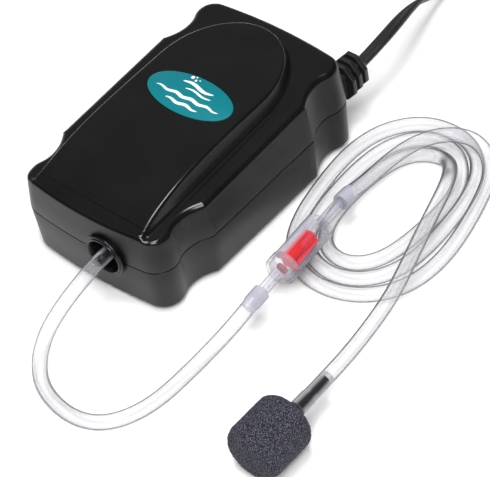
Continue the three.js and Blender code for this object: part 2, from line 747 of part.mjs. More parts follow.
function addValve() {
  const cap = [
    [AIR_BORE, -VALVE_LOWER_BARB - BARB_IN_HOSE],
    [1.4, -VALVE_LOWER_BARB - BARB_IN_HOSE],
    [BARB_RADIUS, -VALVE_LOWER_BARB - BARB_IN_HOSE + 2],
    [BARB_RADIUS, -VALVE_LOWER_BARB - 0.2],
    [2.3, -VALVE_LOWER_BARB + 0.5],
    [2.3, 0],
    [5.2, 0],
    [CAP_RADIUS, 1.2],
    [CAP_RADIUS, CAP_LENGTH],
    [4.9, CAP_LENGTH],
    [4.9, 1.5],
    [2.2, 1.5],
    [2.2, FLAP_REST - GAP],
    [AIR_BORE, FLAP_REST - GAP],
    [AIR_BORE, -VALVE_LOWER_BARB - BARB_IN_HOSE],
  ];
  const flange = CAP_LENGTH + 0.4;
  const insert = [
    [1.4, flange],
    [4.8, flange],
    [4.8, flange + 1.3],
    [4.4, flange + 1.4],
    [3.4, VALVE_LENGTH * 0.8],
    [1.4, VALVE_LENGTH * 0.8],
    [1.4, flange],
  ];
  const tip = VALVE_LENGTH + VALVE_UPPER_BARB + BARB_IN_HOSE;
  const body = [
    [BODY_RADIUS, CAP_LENGTH + GAP],
    [BODY_RADIUS, VALVE_LENGTH - 1],
    [5, VALVE_LENGTH],
    [2.3, VALVE_LENGTH],
    [2.3, tip - BARB_IN_HOSE - 0.5],
    [BARB_RADIUS, tip - BARB_IN_HOSE + 0.2],
    [BARB_RADIUS, tip - 2],
    [1.4, tip],
    [AIR_BORE, tip],
    [AIR_BORE, VALVE_LENGTH - 1.6],
    [BODY_BORE, VALVE_LENGTH - 1.6],
    [BODY_BORE, CAP_LENGTH + GAP],
    [BODY_RADIUS, CAP_LENGTH + GAP],
  ];
  addPart('valve_cap', turned(cap, VALVE_LOW_END, VALVE_AXIS, 20), 'clear');
  addPart('valve_flap', rod(2.4, onValveAxis(FLAP_REST), VALVE_AXIS, 0.8, 18), 'red');
  addPart('valve_insert', turned(insert, VALVE_LOW_END, VALVE_AXIS, 18), 'red');
  addPart('valve_body', turned(body, VALVE_LOW_END, VALVE_AXIS, 20), 'clear');
}

function addStone() {
  const stone = [
    [0, 0],
    [STONE_RADIUS - 2, 0],
    [STONE_RADIUS, 2],
    [STONE_RADIUS, STONE_LENGTH - 4.5],
    [STONE_RADIUS - 1.4, STONE_LENGTH - 1.6],
    [STONE_RADIUS - 4.5, STONE_LENGTH],
    [0, STONE_LENGTH],
  ];
  const z = FLOOR_Z + STONE_RADIUS;
  addPart('air_stone', turned(stone, [STONE_X, STONE_TOP_Y, z], [0, -1, 0], 24), 'stone');
  const nozzle = [
    [0.7, 0],
    [6.9, 0],
    [2.6, 3],
    [1.5, 3],
    [1.5, 2 + STONE_BARB_LENGTH],
    [1.2, 3 + STONE_BARB_LENGTH],
    [0.7, 3 + STONE_BARB_LENGTH],
    [0.7, 0],
  ];
  addPart('stone_nozzle', turned(nozzle, [STONE_X, STONE_TOP_Y + GAP, z], [0, 1, 0], 16), 'blackMatt');
}

function addAirline() {
  addPart('outlet_hose', alongPath(OUTLET_HOSE_ROUTE, hoseSection(), 26), 'clear');
  addPart('coil_lead', alongPath(COIL_LEAD_ROUTE, hoseSection(), 8), 'clear');
  addPart('hose_coil', hoseCoil(), 'clear');
  addPart('stone_hose', alongPath(STONE_HOSE_ROUTE, hoseSection(), 16), 'clear');
  addValve();
  addStone();
}

// ---------------------------------------------------------------- electromagnet
const CORE_X = [-16, 20];
const CORE_Y = [12, 44];
const CORE_Z = [MECHANISM_Z - 7, MECHANISM_Z + 7];
const LEG_CENTRE_X = 2;
const LEG_HALF = 6;
const OUTER_LEG = 6;
const YOKE = 6;
const CORE_SCREWS_X = [-12, 16];
const CORE_SCREW_Y = 41;

function laminatedCore() {
  const [x0, x1] = CORE_X;
  const [y0, y1] = CORE_Y;
  const [z0, z1] = CORE_Z;
  const whole = block([x0, y0, z0], [x1, y1, z1]);
  const windows = [
    block([x0 + OUTER_LEG, y0 - 1, z0 - 1], [LEG_CENTRE_X - LEG_HALF, y1 - YOKE, z1 + 1]),
    block([LEG_CENTRE_X + LEG_HALF, y0 - 1, z0 - 1], [x1 - OUTER_LEG, y1 - YOKE, z1 + 1]),
  ];
  const holes = CORE_SCREWS_X.map((x) => rod(1.8, [x, CORE_SCREW_Y, z0 - 1], [0, 0, 1], 16, 12));
  return cut(whole, ...windows, ...holes);
}

function coreBracket() {
  const [x0, x1] = CORE_X;
  const [y0, y1] = CORE_Y;
  const top = CORE_Z[0] - GAP;
  const bottom = FLOOR + GAP;
  const plate = block([x0, y0 + 8, bottom], [x1, y1, bottom + 2]);
  const yokePost = block([x0, y1 - YOKE + GAP, bottom], [x1, y1, top]);
  const leftPost = block([x0, y0 + 8, bottom], [x0 + OUTER_LEG - GAP, y0 + 13, top]);
  const rightPost = block([x1 - OUTER_LEG + GAP, y0 + 8, bottom], [x1, y0 + 13, top]);
  const holes = CORE_SCREWS_X.map((x) => rod(1.8, [x, CORE_SCREW_Y, 5], [0, 0, 1], 9, 12));
  return cut(join(plate, yokePost, leftPost, rightPost), ...holes);
}

// A rectangular sleeve round the core's middle leg.
function sleeve(inside, outside, y0, y1) {
  const half = (grow) => [LEG_HALF + grow, (CORE_Z[1] - CORE_Z[0]) / 2 + grow];
  const box = (grow, from, to) => {
    const [halfX, halfZ] = half(grow);
    return block(
      [LEG_CENTRE_X - halfX, from, MECHANISM_Z - halfZ],
      [LEG_CENTRE_X + halfX, to, MECHANISM_Z + halfZ],
    );
  };
  return cut(box(outside, y0, y1), box(inside, y0 - 1, y1 + 1));
}

const LEAD_ROUTES = [
  [[24.9, 51.4, PARTING_Z], [24.6, 47, 22.6], [22, 40, 26.6], [17.5, 34.5, 28.4], [13.9, 32, 28.2]],
  [[27.1, 51.4, PARTING_Z], [27, 46, 22.6], [24.6, 36, 26.8], [18.5, 28.5, 28.4], [13.9, 26, 28.2]],
];

function addElectromagnet() {
  const front = CORE_Y[0] + 1;
  const back = CORE_Y[1] - YOKE - 1;
  const tube = sleeve(GAP, 1.3, front, back);
  const frontFlange = sleeve(GAP, 5.6, front, front + 1);
  const backFlange = sleeve(GAP, 5.6, back - 1, back);
  addPart('core_bracket', coreBracket(), 'blackMatt');
  addPart('laminated_core', laminatedCore(), 'steel');
  CORE_SCREWS_X.forEach((x, i) => {
    const profile = [[0, 0], [1.5, 0], [1.5, 18.3], [3, 18.3], [3, 20], [0, 20]];
    const from = [x, CORE_SCREW_Y, CORE_Z[1] + GAP - 18.3];
    addPart(`core_screw_${i + 1}`, turned(profile, from, [0, 0, 1], 12), 'steel');
  });
  addPart('coil_bobbin', join(tube, frontFlange, backFlange), 'ivory');
  addPart('copper_winding', sleeve(1.3 + GAP, 5.2, front + 1 + GAP, back - 1 - GAP), 'copper');
  LEAD_ROUTES.forEach((route, i) => {
    addPart(`winding_lead_${i + 1}`, alongPath(route, polygon(0.8, 8), 8), 'red');
  });
}

// ---------------------------------------------------------------- armature
const PIVOT = [2, -27];
const POST_RADIUS = 3;
const BUSH_RADIUS = 4.3;
const ARM_EYE_RADIUS = 6.5;
const ARM_HALF_WIDTH = 2.5;
const ARM_END_Y = 3.6;
const MAGNET_Y = [3.9, 10.8];
const DIAPHRAGM_Y = -16;

function addArmature() {
  const [x, y] = PIVOT;
  const floor = FLOOR + GAP;
  const z0 = MECHANISM_Z - 5;
  const post = [[0, 0], [7, 0], [7, 2.3], [POST_RADIUS, 2.3], [POST_RADIUS, 24.5], [0, 24.5]];
  addPart('pivot_post', turned(post, [x, y, floor], [0, 0, 1], 20), 'steel');
  const bush = pipe(BUSH_RADIUS, POST_RADIUS + GAP, [x, y, z0 - 0.5], [0, 0, 1], 11, 20);
  addPart('pivot_bush', bush, 'brass');
  const clip = pipe(5, POST_RADIUS + GAP, [x, y, z0 + 11], [0, 0, 1], 1, 16);
  addPart('pivot_clip', clip, 'steel');
  const bar = block([x - ARM_HALF_WIDTH, y, z0], [x + ARM_HALF_WIDTH, ARM_END_Y, z0 + 10]);
  const eye = rod(ARM_EYE_RADIUS, [x, y, z0], [0, 0, 1], 10, 24);
  const bore = rod(BUSH_RADIUS + GAP, [x, y, z0 - 1], [0, 0, 1], 12, 20);
  const stud = rod(1.7, [-5, DIAPHRAGM_Y, MECHANISM_Z], [1, 0, 0], 14, 12);
  addPart('armature_arm', cut(join(bar, eye), bore, stud), 'steel');
  const magnet = block(
    [x - LEG_HALF, MAGNET_Y[0], MECHANISM_Z - 6],
    [x + LEG_HALF, MAGNET_Y[1], MECHANISM_Z + 6],
  );
  addPart('drive_magnet', magnet, 'magnet');
}

// ---------------------------------------------------------------- diaphragm pump
const CHAMBER_X = [-27, -11];
const CHAMBER_Y = [-30, -2];
const CHAMBER_TOP = 30;
const CAVITY_RADIUS = 7;
const CAVITY_DEPTH = 6;
const PORT_RADIUS = 1.6;
const INLET_Y = -12;
const OUTLET_Y = -20;
const FLAP_HALF = 2.6;
const FLAP_THICKNESS = 0.6;
const COVER_X = [-32, -28.6];
const STUB_X = -30.3;
const STUB_LENGTH = 3.5;
const CORNER_SCREWS = [[-27, 27], [-5, 9]];

const towardsArm = [1, 0, 0];
const PUMP_AXIS = [DIAPHRAGM_Y, MECHANISM_Z];

function portHole(y, x0, length) {
  return rod(PORT_RADIUS, [x0, y, MECHANISM_Z], towardsArm, length, 12);
}

function chamberBlock() {
  const [x0, x1] = CHAMBER_X;
  const body = block([x0, CHAMBER_Y[0], FLOOR + GAP], [x1, CHAMBER_Y[1], CHAMBER_TOP]);
  const cavity = rod(CAVITY_RADIUS, [x1 - CAVITY_DEPTH, ...PUMP_AXIS], towardsArm, 8, 24);
  const screws = CORNER_SCREWS.map(([y, z]) => rod(1.6, [x0 - 1, y, z], towardsArm, 11, 10));
  const holes = [portHole(INLET_Y, x0 - 1, 14), portHole(OUTLET_Y, x0 - 1, 14)];
  return cut(body, cavity, ...holes, ...screws);
}

function addChamberBack() {
  const x0 = CHAMBER_X[0];
  const screwHoles = CORNER_SCREWS.map(([y, z]) => rod(1.6, [-36, y, z], towardsArm, 12, 10));
  const gasket = block([x0 - 1.3, CHAMBER_Y[0], 5], [x0 - 0.3, CHAMBER_Y[1], CHAMBER_TOP]);
  const pocket = rod(4, [COVER_X[0] + 0.9, OUTLET_Y, MECHANISM_Z], towardsArm, 6, 16);
  const wide = rod(4, [x0 - 2, OUTLET_Y, MECHANISM_Z], towardsArm, 4, 16);
  addPart('chamber_gasket', cut(gasket, wide, portHole(INLET_Y, -36, 12), ...screwHoles), 'blackRubber');
  const cover = block([COVER_X[0], CHAMBER_Y[0], 5], [COVER_X[1], CHAMBER_Y[1], CHAMBER_TOP]);
  const stubEnd = CHAMBER_Y[0] - STUB_LENGTH;
  const stub = rod(1.8, [STUB_X, stubEnd, MECHANISM_Z], [0, 1, 0], STUB_LENGTH + 0.1, 12);
  const duct = rod(1, [STUB_X, stubEnd - 1, MECHANISM_Z], [0, 1, 0], 13, 10);
  const inlet = portHole(INLET_Y, -36, 12);
  addPart('chamber_cover', cut(join(cover, stub), pocket, duct, inlet, ...screwHoles), 'ivory');
  const flap = (x, y) => rod(FLAP_HALF, [x, y, MECHANISM_Z], towardsArm, FLAP_THICKNESS, 16);
  addPart('inlet_flap', flap(CHAMBER_X[1] - CAVITY_DEPTH + GAP, INLET_Y), 'blackRubber');
  addPart('outlet_flap', flap(x0 - GAP - FLAP_THICKNESS, OUTLET_Y), 'blackRubber');
  CORNER_SCREWS.forEach(([y, z], i) => {
    const profile = [[0, 0], [2.4, 0], [2.4, 1.2], [1.3, 1.2], [1.3, 13], [0, 13]];
    const from = [COVER_X[0] - GAP - 1.2, y, z];
    addPart(`chamber_screw_${i + 1}`, turned(profile, from, towardsArm, 10), 'steel');
  });
}

function addDiaphragm() {
  const face = CHAMBER_X[1] + GAP;
  const skirt = [
    [7.2, 0],
    [10, 0],
    [10, 1.2],
    [8, 1.2],
    [6.6, 3.6],
    [1.9, 3.6],
    [1.9, 2.4],
    [5.8, 2.4],
    [7.2, 0],
  ];
  addPart('diaphragm', turned(skirt, [face, ...PUMP_AXIS], towardsArm, 24), 'blackRubber');
  addPart('diaphragm_clamp', pipe(10.8, 8.3, [face + 1.5, ...PUMP_AXIS], towardsArm, 2, 24), 'ivory');
  const washer = (x) => pipe(4.4, 1.7, [x, ...PUMP_AXIS], towardsArm, 1, 18);
  addPart('inner_washer', washer(face + 1.1), 'steel');
  addPart('outer_washer', washer(face + 3.9), 'steel');
  const screw = [[0, 0], [2.6, 0], [2.6, 1.4], [1.4, 1.4], [1.4, 15.6], [0, 15.6]];
  addPart('diaphragm_screw', turned(screw, [face - 0.6, ...PUMP_AXIS], towardsArm, 12), 'steel');
}

const AIR_TUBE_ROUTE = [
  [STUB_X, CHAMBER_Y[0] - GAP, MECHANISM_Z],
  [STUB_X + 0.1, CHAMBER_Y[0] - STUB_LENGTH, MECHANISM_Z],
  [-28.3, -36.8, 18.1],
  [-23, -38.9, 18.4],
  [-12, -38.9, 19],
  [0, -38.9, 19.8],
  [6.6, -40.6, 20.2],
  [9.6, -44.9, PARTING_Z],
  [OUTLET[0], -48.9, PARTING_Z],
];

function airTube() {
  const section = polygon(2.8, 10);
  section.holes.push(polygon(HOSE_BORE, 10));
  return alongPath(AIR_TUBE_ROUTE, section, 14);
}

addHousing();
addFilter();
addOutlet();
addMains();
addAirline();
addElectromagnet();
addArmature();
addPart('chamber_block', chamberBlock(), 'ivory');
addChamberBack();
addDiaphragm();
addPart('air_tube', airTube(), 'clear');

// The origin lies under the middle of the pump, from the nozzle's tip to the back of the
// housing, on the surface that the feet stand on.
pump.position.set(0, -(NOZZLE_TIP_Y + LENGTH / 2) / 2, FOOT_HEIGHT);
const airPump = new THREE.Group();
airPump.add(pump);
export default airPump;
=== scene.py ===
"""Aquarium air pump, final looks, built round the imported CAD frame.

Lengths below are millimetres in the housing's own frame: X across, Y along (air outlet at -Y,
mains lead at +Y) and Z up from the underside of the lower shell. place() turns them into the
shared frame's metres.
"""

import math

import bmesh
import bpy
from mathutils import Matrix, Vector, noise


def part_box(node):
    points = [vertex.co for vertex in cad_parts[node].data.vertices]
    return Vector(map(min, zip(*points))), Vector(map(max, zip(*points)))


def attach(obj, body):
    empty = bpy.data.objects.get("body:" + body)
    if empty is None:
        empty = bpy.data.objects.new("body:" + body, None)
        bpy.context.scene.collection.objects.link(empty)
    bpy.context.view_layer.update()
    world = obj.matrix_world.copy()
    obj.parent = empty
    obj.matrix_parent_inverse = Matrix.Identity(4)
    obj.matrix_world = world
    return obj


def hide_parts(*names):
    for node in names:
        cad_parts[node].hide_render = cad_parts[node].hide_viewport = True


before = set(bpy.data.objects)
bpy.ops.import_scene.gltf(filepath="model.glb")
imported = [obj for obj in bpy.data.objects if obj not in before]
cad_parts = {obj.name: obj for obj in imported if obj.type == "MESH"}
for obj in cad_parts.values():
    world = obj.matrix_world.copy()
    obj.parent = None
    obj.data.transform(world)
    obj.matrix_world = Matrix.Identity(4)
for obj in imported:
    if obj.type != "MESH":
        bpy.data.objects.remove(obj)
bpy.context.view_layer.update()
SCENE = bpy.context.scene
MM = 0.001
SHELL_LOW, SHELL_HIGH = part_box("lower_shell")
ORIGIN = Vector(((SHELL_LOW.x + SHELL_HIGH.x) / 2, (SHELL_LOW.y + SHELL_HIGH.y) / 2, SHELL_LOW.z))

# ---- driving dimensions
LENGTH = 120
MID_WIDTH = 76.4
COLUMN_WIDTH = 72.3
SCOOP_WIDTH = 68.5
MID_END = 30
SCOOP_Y = 40.9
COLUMN_Y = 49.3
CORNER_RADIUS = 8.3
END_BOW = 1.6
WALL = 2.2
FLOOR = 2.4
BOTTOM_INSET = 1.0
BOTTOM_FILLET = 1.2
TOP_INSET = 1.2
SIDE_FILLET = 3.0
FRONT_FILLET = 1.7
PARTING_Z = 20.3
SEAM = 0.34
RIM_EDGE = ((0.3, 0), (0.06, 0.12), (0.02, 0.4))  # (inset, away from the rim), from the rim outwards
LID_Z = 37.9
LID_SLOPE = 0.045
DOME_TOP = 45.6
DOME_HALF_WIDTH = 26
DOME_FLARE = 1.3
DOME_CENTRE_Y = 17.5
DOME_BACK = 33
DOME_FRONT = -58.4
DOME_DROP = 10.2
DOME_DROP_START = 10
DOME_DROP_POWER = 3.2
FLANK = 1.4
FOOT_HEIGHT = 2
FLOOR_Z = -FOOT_HEIGHT
OUTLET_X = 9.75
RELIEF_X = 26
LABEL_CENTRE = (0.6, 5.2)
LABEL_HALF = (20.3, 9.9)
LABEL_GAP = 0.3
SCREW_PLACES = [(-28, -48), (28, -48), (-28, 48), (12, 50.5)]
FOOT_PLACES = [(-25, -33), (25, -33), (-25, 33), (25, 33)]
FILTER_PLACE = (-22, 10)
FILTER_HALF = 8.5
MECHANISM_Z = 18
GAP = 0.3
UP = (0, 0, 1)
BACKWARDS = (0, 1, 0)
HOSE_RADIUS = 3
HOSE_BORE = 2.05
HOSE_ON_FLOOR = FLOOR_Z + HOSE_RADIUS + 0.05


def place(x, y, z):
    return ORIGIN + Vector((x, y, z)) * MM


def smoothstep(low, high, value):
    t = min(1.0, max(0.0, (value - low) / (high - low)))
    return t * t * (3 - 2 * t)


def mix(a, b, t):
    return a + (b - a) * t


def curve(a, corner, b, t):
    """On the way from a to b, setting out towards the corner and arriving from it."""
    return a * (1 - t) ** 2 + corner * 2 * t * (1 - t) + b * t * t


def boxy(value, power):
    """A sine or cosine pushed outwards, which gives a circle squarer sides."""
    return math.copysign(abs(value) ** power, value)


def shares(steps):
    """Even steps from 0 to 1."""
    return [i / steps for i in range(steps + 1)]


def quarter_angles(steps):
    """Even steps from 0 to a quarter turn, in radians."""
    return [math.pi / 2 * i / steps for i in range(steps + 1)]


def angles(count):
    """Even steps once round a circle, in radians."""
    return [2 * math.pi * i / count for i in range(count)]


# ---- materials
def new_material(name, roughness=0.5, metallic=0.0, **settings):
    material = bpy.data.materials.new(name)
    material.use_nodes = True
    shader = material.node_tree.nodes["Principled BSDF"]
    shader.inputs["Roughness"].default_value = roughness
    shader.inputs["Metallic"].default_value = metallic
    for socket, value in settings.items():
        shader.inputs[socket.replace("_", " ")].default_value = value
    return material


def node(tree, kind, **inputs):
    """A new shader node, with values set on its inputs."""
    made = tree.nodes.new(kind)
    for socket, value in inputs.items():
        made.inputs[socket.replace("_", " ")].default_value = value
    return made


def link(source, target):
    target.id_data.links.new(source, target)


def feed(source, socket):
    """Links a node's output to a socket of its material's shader."""
    link(source, source.id_data.nodes["Principled BSDF"].inputs[socket])


def texture(material, kind, **inputs):
    """A texture over the object's own coordinates, which are metres in the shared frame."""
    made = node(material.node_tree, kind, **inputs)
    link(node(material.node_tree, "ShaderNodeTexCoord").outputs["Object"], made.inputs["Vector"])
    return made


def grain(material, scale, detail=3.0):
    return texture(material, "ShaderNodeTexNoise", Scale=scale, Detail=detail).outputs["Fac"]


def facing(material):
    """How edge-on the surface is to the view, from 0 to 1."""
    return node(material.node_tree, "ShaderNodeLayerWeight", Blend=0.5).outputs["Facing"]


def normal(material):
    return node(material.node_tree, "ShaderNodeNewGeometry").outputs["Normal"]


def toward(vector, direction):
    """How far a vector points in a direction."""
    made = node(vector.id_data, "ShaderNodeVectorMath")
    made.operation = "DOT_PRODUCT"
    made.inputs[1].default_value = direction
    link(vector, made.inputs[0])
    return made.outputs["Value"]


def arithmetic(operation, *values):
    """A sum or product; the first value is a node's output, and the others may be numbers."""
    made = node(values[0].id_data, "ShaderNodeMath")
    made.operation = operation
    for socket, value in zip(made.inputs, values):
        if isinstance(value, float):
            socket.default_value = value
        else:
            link(value, socket)
    return made.outputs["Value"]


def spread(source, start, end, low, high, interpolation="LINEAR"):
    """The source's range from start to end, stretched from low to high."""
    made = node(
        source.id_data, "ShaderNodeMapRange", From_Min=start, From_Max=end, To_Min=low, To_Max=high
    )
    made.interpolation_type = interpolation
    link(source, made.inputs["Value"])
    return made.outputs["Result"]


def ramp(factor, stops):
    """A colour from stops of (position, (red, green, blue))."""
    made = node(factor.id_data, "ShaderNodeValToRGB")
    elements = made.color_ramp.elements
    while len(elements) < len(stops):
        elements.new(0.5)
    for element, (position, colour) in zip(elements, stops):
        element.position = position
        element.color = (*colour, 1)
    link(factor, made.inputs["Fac"])
    return made.outputs["Color"]


def coloured(factor, *stops):
    feed(ramp(factor, stops), "Base Color")


def varied(factor, socket, low, high, start=0.3, end=0.7):
    feed(spread(factor, start, end, low, high), socket)


def bumped(factor, depth, strength=1.0):
    bump = node(factor.id_data, "ShaderNodeBump", Strength=strength, Distance=depth)
    link(factor, bump.inputs["Height"])
    feed(bump.outputs["Normal"], "Normal")


def moulded(name, dark, light, roughness, grain_scale, depth, **settings):
    """Moulded plastic or rubber: cloudy colour, uneven sheen and a fine skin."""
    material = new_material(name, **settings)
    coloured(grain(material, 60.0, 2.0), (0.3, dark), (0.7, light))
    varied(grain(material, 240.0, 4.0), "Roughness", *roughness)
    bumped(grain(material, grain_scale, 2.0), depth)
    return material


def striped(name, dark, light, scale, direction, depth):
    """Bare metal with fine straight lines, for steel sheets or wound wire."""
    material = new_material(name, metallic=1.0)
    wave = texture(material, "ShaderNodeTexWave", Scale=scale, Distortion=0.3)
    wave.bands_direction = direction
    coloured(wave.outputs["Fac"], (0.1, dark), (0.6, light))
    varied(grain(material, 900.0), "Roughness", 0.28, 0.45)
    bumped(wave.outputs["Fac"], depth)
    return material


# The side of clear tubes that gets painted shade: their edges on this side are darkened, standing in for the
# studio's dark wall showing through as a thin dark line.
PAINTED_SHADE_SIDE = (-0.40, 0.61, 0.68)


def see_through(name, stops, roughness=0.14, **settings):
    """Clear plastic: more of it is looked through towards its edges, so it darkens there; on one fixed side
    that darkening is raised as painted shade.

    Each stop is (how edge-on the surface is, grey, blue against grey, opacity).
    """
    material = new_material(name, roughness, **settings)
    # Painted shade: edges that face one fixed world direction are darkened and made more opaque, whatever the
    # lights do.
    side = spread(toward(normal(material), PAINTED_SHADE_SIDE), -0.6, 0.5, 0.62, 1.08)
    depth = arithmetic("MULTIPLY", facing(material), side)
    coloured(depth, *[(at, (grey, grey, grey * blue)) for at, grey, blue, _ in stops])
    feed(ramp(depth, [(at, [opacity] * 3) for at, _, _, opacity in stops]), "Alpha")
    bumped(grain(material, 420.0, 2.0), 0.00002)
    return material


def tinted(name, centre, edge, thin, thick):
    """Clear coloured plastic, paler in the middle and denser towards its edges."""
    material = new_material(name, roughness=0.3, Specular_IOR_Level=0.1)
    depth = facing(material)
    coloured(depth, (0.1, centre), (0.8, edge))
    varied(depth, "Alpha", thin, thick, start=0.1, end=0.8)
    bumped(grain(material, 420.0, 2.0), 0.00002)
    return material


def housing_material():
    """Polished on the faces that look up, and a duller gloss on the walls."""
    material = new_material("housing_black", IOR=1.5, Specular_IOR_Level=0.34)
    coloured(grain(material, 60.0, 2.0), (0.3, (0.0042, 0.0042, 0.0045)), (0.7, (0.0062, 0.0062, 0.0066)))
    dull = spread(toward(normal(material), UP), 0.15, 0.6, 0.38, 0.14)
    feed(arithmetic("MULTIPLY_ADD", grain(material, 240.0, 4.0), 0.06, dull), "Roughness")
    bumped(grain(material, 900.0, 2.0), 0.000004)
    return material


def stone_material():
    material = new_material("air_stone_grit", roughness=0.95)
    cells = texture(material, "ShaderNodeTexVoronoi", Scale=2200.0).outputs["Distance"]
    light, middle, dark = (0.34, 0.34, 0.42), (0.09, 0.09, 0.125), (0.007, 0.007, 0.014)
    coloured(cells, (0.05, light), (0.25, middle), (0.55, dark))
    varied(grain(material, 1200.0), "Roughness", 0.85, 1.0)
    bumped(cells, 0.0003, 0.9)
    return material


def label_material():
    material = new_material("label_teal", Specular_IOR_Level=0.2)
    fibres = grain(material, 3000.0, 2.0)
    coloured(fibres, (0.3, (0.0012, 0.15, 0.18)), (0.7, (0.0018, 0.175, 0.205)))
    varied(grain(material, 500.0), "Roughness", 0.32, 0.5)
    bumped(fibres, 0.00001)
    return material


M = {
    "gloss": housing_material(),
    "matt": moulded(
        "nozzle_black", (0.008, 0.008, 0.009), (0.016, 0.016, 0.017), (0.4, 0.55), 1500.0, 0.00003
    ),
    "rubber": moulded(
        "rubber_black", (0.006, 0.006, 0.0065), (0.012, 0.012, 0.0125), (0.38, 0.5), 1800.0, 0.00003
    ),
    "seal": moulded(
        "seal_black", (0.012, 0.012, 0.013), (0.03, 0.03, 0.03), (0.6, 0.8), 1200.0, 0.00004
    ),
    "ivory": moulded(
        "ivory_plastic", (0.62, 0.58, 0.46), (0.72, 0.68, 0.56), (0.4, 0.55), 1200.0, 0.00002
    ),
    "red": moulded(
        "valve_red", (0.56, 0.0006, 0.0006), (0.64, 0.001, 0.001), (0.45, 0.55), 700.0, 0.00001,
        Specular_IOR_Level=0.04,
    ),
    "wire": moulded("lead_red", (0.5, 0.01, 0.01), (0.62, 0.02, 0.02), (0.35, 0.5), 900.0, 0.00002),
    "ink": moulded("label_white", (0.82, 0.84, 0.84), (0.93, 0.94, 0.94), (0.4, 0.5), 2500.0, 0.000005),
    "felt": moulded("filter_felt", (0.5, 0.47, 0.4), (0.72, 0.69, 0.6), (0.9, 1.0), 3500.0, 0.0004),
    "steel": moulded(
        "bright_steel", (0.42, 0.43, 0.44), (0.58, 0.59, 0.6), (0.25, 0.4), 1400.0, 0.00001, metallic=1.0
    ),
    "magnet": moulded(
        "ferrite", (0.05, 0.05, 0.055), (0.1, 0.1, 0.11), (0.45, 0.65), 2200.0, 0.00004, metallic=0.4
    ),
    "brass": moulded(
        "brass", (0.62, 0.42, 0.15), (0.78, 0.56, 0.24), (0.2, 0.36), 900.0, 0.00001, metallic=1.0
    ),
    "laminated": striped("laminated_steel", (0.12, 0.12, 0.13), (0.45, 0.46, 0.47), 300.0, "Z", 0.0001),
    "copper": striped("copper_wire", (0.30, 0.09, 0.03), (0.85, 0.38, 0.16), 500.0, "Y", 0.0002),
    "hose": see_through(
        "airline_clear",
        [(0.0, 0.56, 1.08, 0.15), (0.2, 0.54, 1.08, 0.18), (0.27, 0.40, 1.06, 0.36),
         (0.34, 0.62, 1.04, 0.22), (0.48, 0.38, 1.05, 0.5), (0.62, 0.07, 1.1, 0.92), (1.0, 0.03, 1.1, 1.0)],
        roughness=0.1, IOR=1.45,
    ),
    "sleeve": see_through(
        "airline_on_valve",
        [(0.0, 0.52, 1.16, 0.62), (0.35, 0.50, 1.16, 0.66), (0.5, 0.34, 1.18, 0.78),
         (0.65, 0.44, 1.16, 0.8), (0.82, 0.14, 1.25, 0.95), (1.0, 0.10, 1.25, 1.0)],
        IOR=1.45,
    ),
    "over_barb": see_through(
        "airline_on_black",
        [(0.0, 0.02, 1.1, 0.3), (0.17, 0.03, 1.1, 0.45), (0.26, 0.22, 1.1, 0.75),
         (0.45, 0.36, 1.08, 0.85), (0.66, 0.12, 1.1, 0.95), (1.0, 0.05, 1.2, 1.0)],
        roughness=0.1, IOR=1.45,
    ),
    "clear": see_through(
        "valve_clear",
        [(0.0, 0.40, 1.14, 0.015), (0.3, 0.5, 1.14, 0.04), (0.42, 0.40, 1.16, 0.5),
         (0.52, 0.62, 1.14, 0.45), (0.74, 0.30, 1.2, 0.8), (1.0, 0.08, 1.3, 1.0)],
        roughness=0.07, IOR=1.5, Specular_IOR_Level=0.12,
    ),
    "barb": see_through(
        "barb_clear",
        [(0.0, 0.56, 1.14, 0.17), (0.35, 0.52, 1.14, 0.22), (0.48, 0.34, 1.18, 0.46),
         (0.62, 0.48, 1.16, 0.5), (0.8, 0.14, 1.3, 0.9), (1.0, 0.08, 1.3, 1.0)],
        IOR=1.5, Specular_IOR_Level=0.3,
    ),
    "pink": tinted("valve_pink", (0.70, 0.03, 0.06), (0.62, 0.01, 0.02), 0.72, 0.92),
    "stone": stone_material(),
    "label": label_material(),
}


# ---- mesh helpers
CREASE = 38


def add(name, data):
    made = bpy.data.objects.new(name, data)
    SCENE.collection.objects.link(made)
    return made


def solid(name, shape):
    """A new object from millimetre vertices and faces, with its normals made consistent."""
    vertices, faces = shape
    mesh = bpy.data.meshes.new(name)
    mesh.from_pydata([place(*vertex) for vertex in vertices], [], faces)
    work = bmesh.new()
    work.from_mesh(mesh)
    bmesh.ops.remove_doubles(work, verts=work.verts, dist=1e-6)
    bmesh.ops.dissolve_degenerate(work, dist=1e-7, edges=work.edges)
    bmesh.ops.recalc_face_normals(work, faces=work.faces)
    work.to_mesh(mesh)
    work.free()
    return add(name, mesh)


def piece(name, shape, material, slot, *replaces, body="pump", crease=CREASE):
    """A piece that rides on a body, shaded smooth between creases."""
    made = solid(name, shape)
    made.data.materials.append(M[material])
    shade(made, crease)
    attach(made, body)
    if replaces:
        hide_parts(*replaces)
    return made


def shade(made, crease=CREASE):
    made.data.polygons.foreach_set("use_smooth", [True] * len(made.data.polygons))
    made.data.set_sharp_from_angle(angle=math.radians(crease))
    made.data.update()


def loft(rings, closed_ends=True):
    """Vertices and faces of rings with the same number of points, joined side to side."""
    count = len(rings[0])
    vertices = [point for ring in rings for point in ring]
    faces = []
    for k in range(0, len(vertices) - count, count):
        for i in range(count):
            j = (i + 1) % count
            faces.append((k + i, k + j, k + count + j, k + count + i))
    if closed_ends:
        faces.append(tuple(reversed(range(count))))
        faces.append(tuple(range(len(vertices) - count, len(vertices))))
    return vertices, faces


def combined(*parts):
    vertices = []
    faces = []
    for part_vertices, part_faces in parts:
        start = len(vertices)
        vertices += part_vertices
        faces += [tuple(i + start for i in face) for face in part_faces]
    return vertices, faces


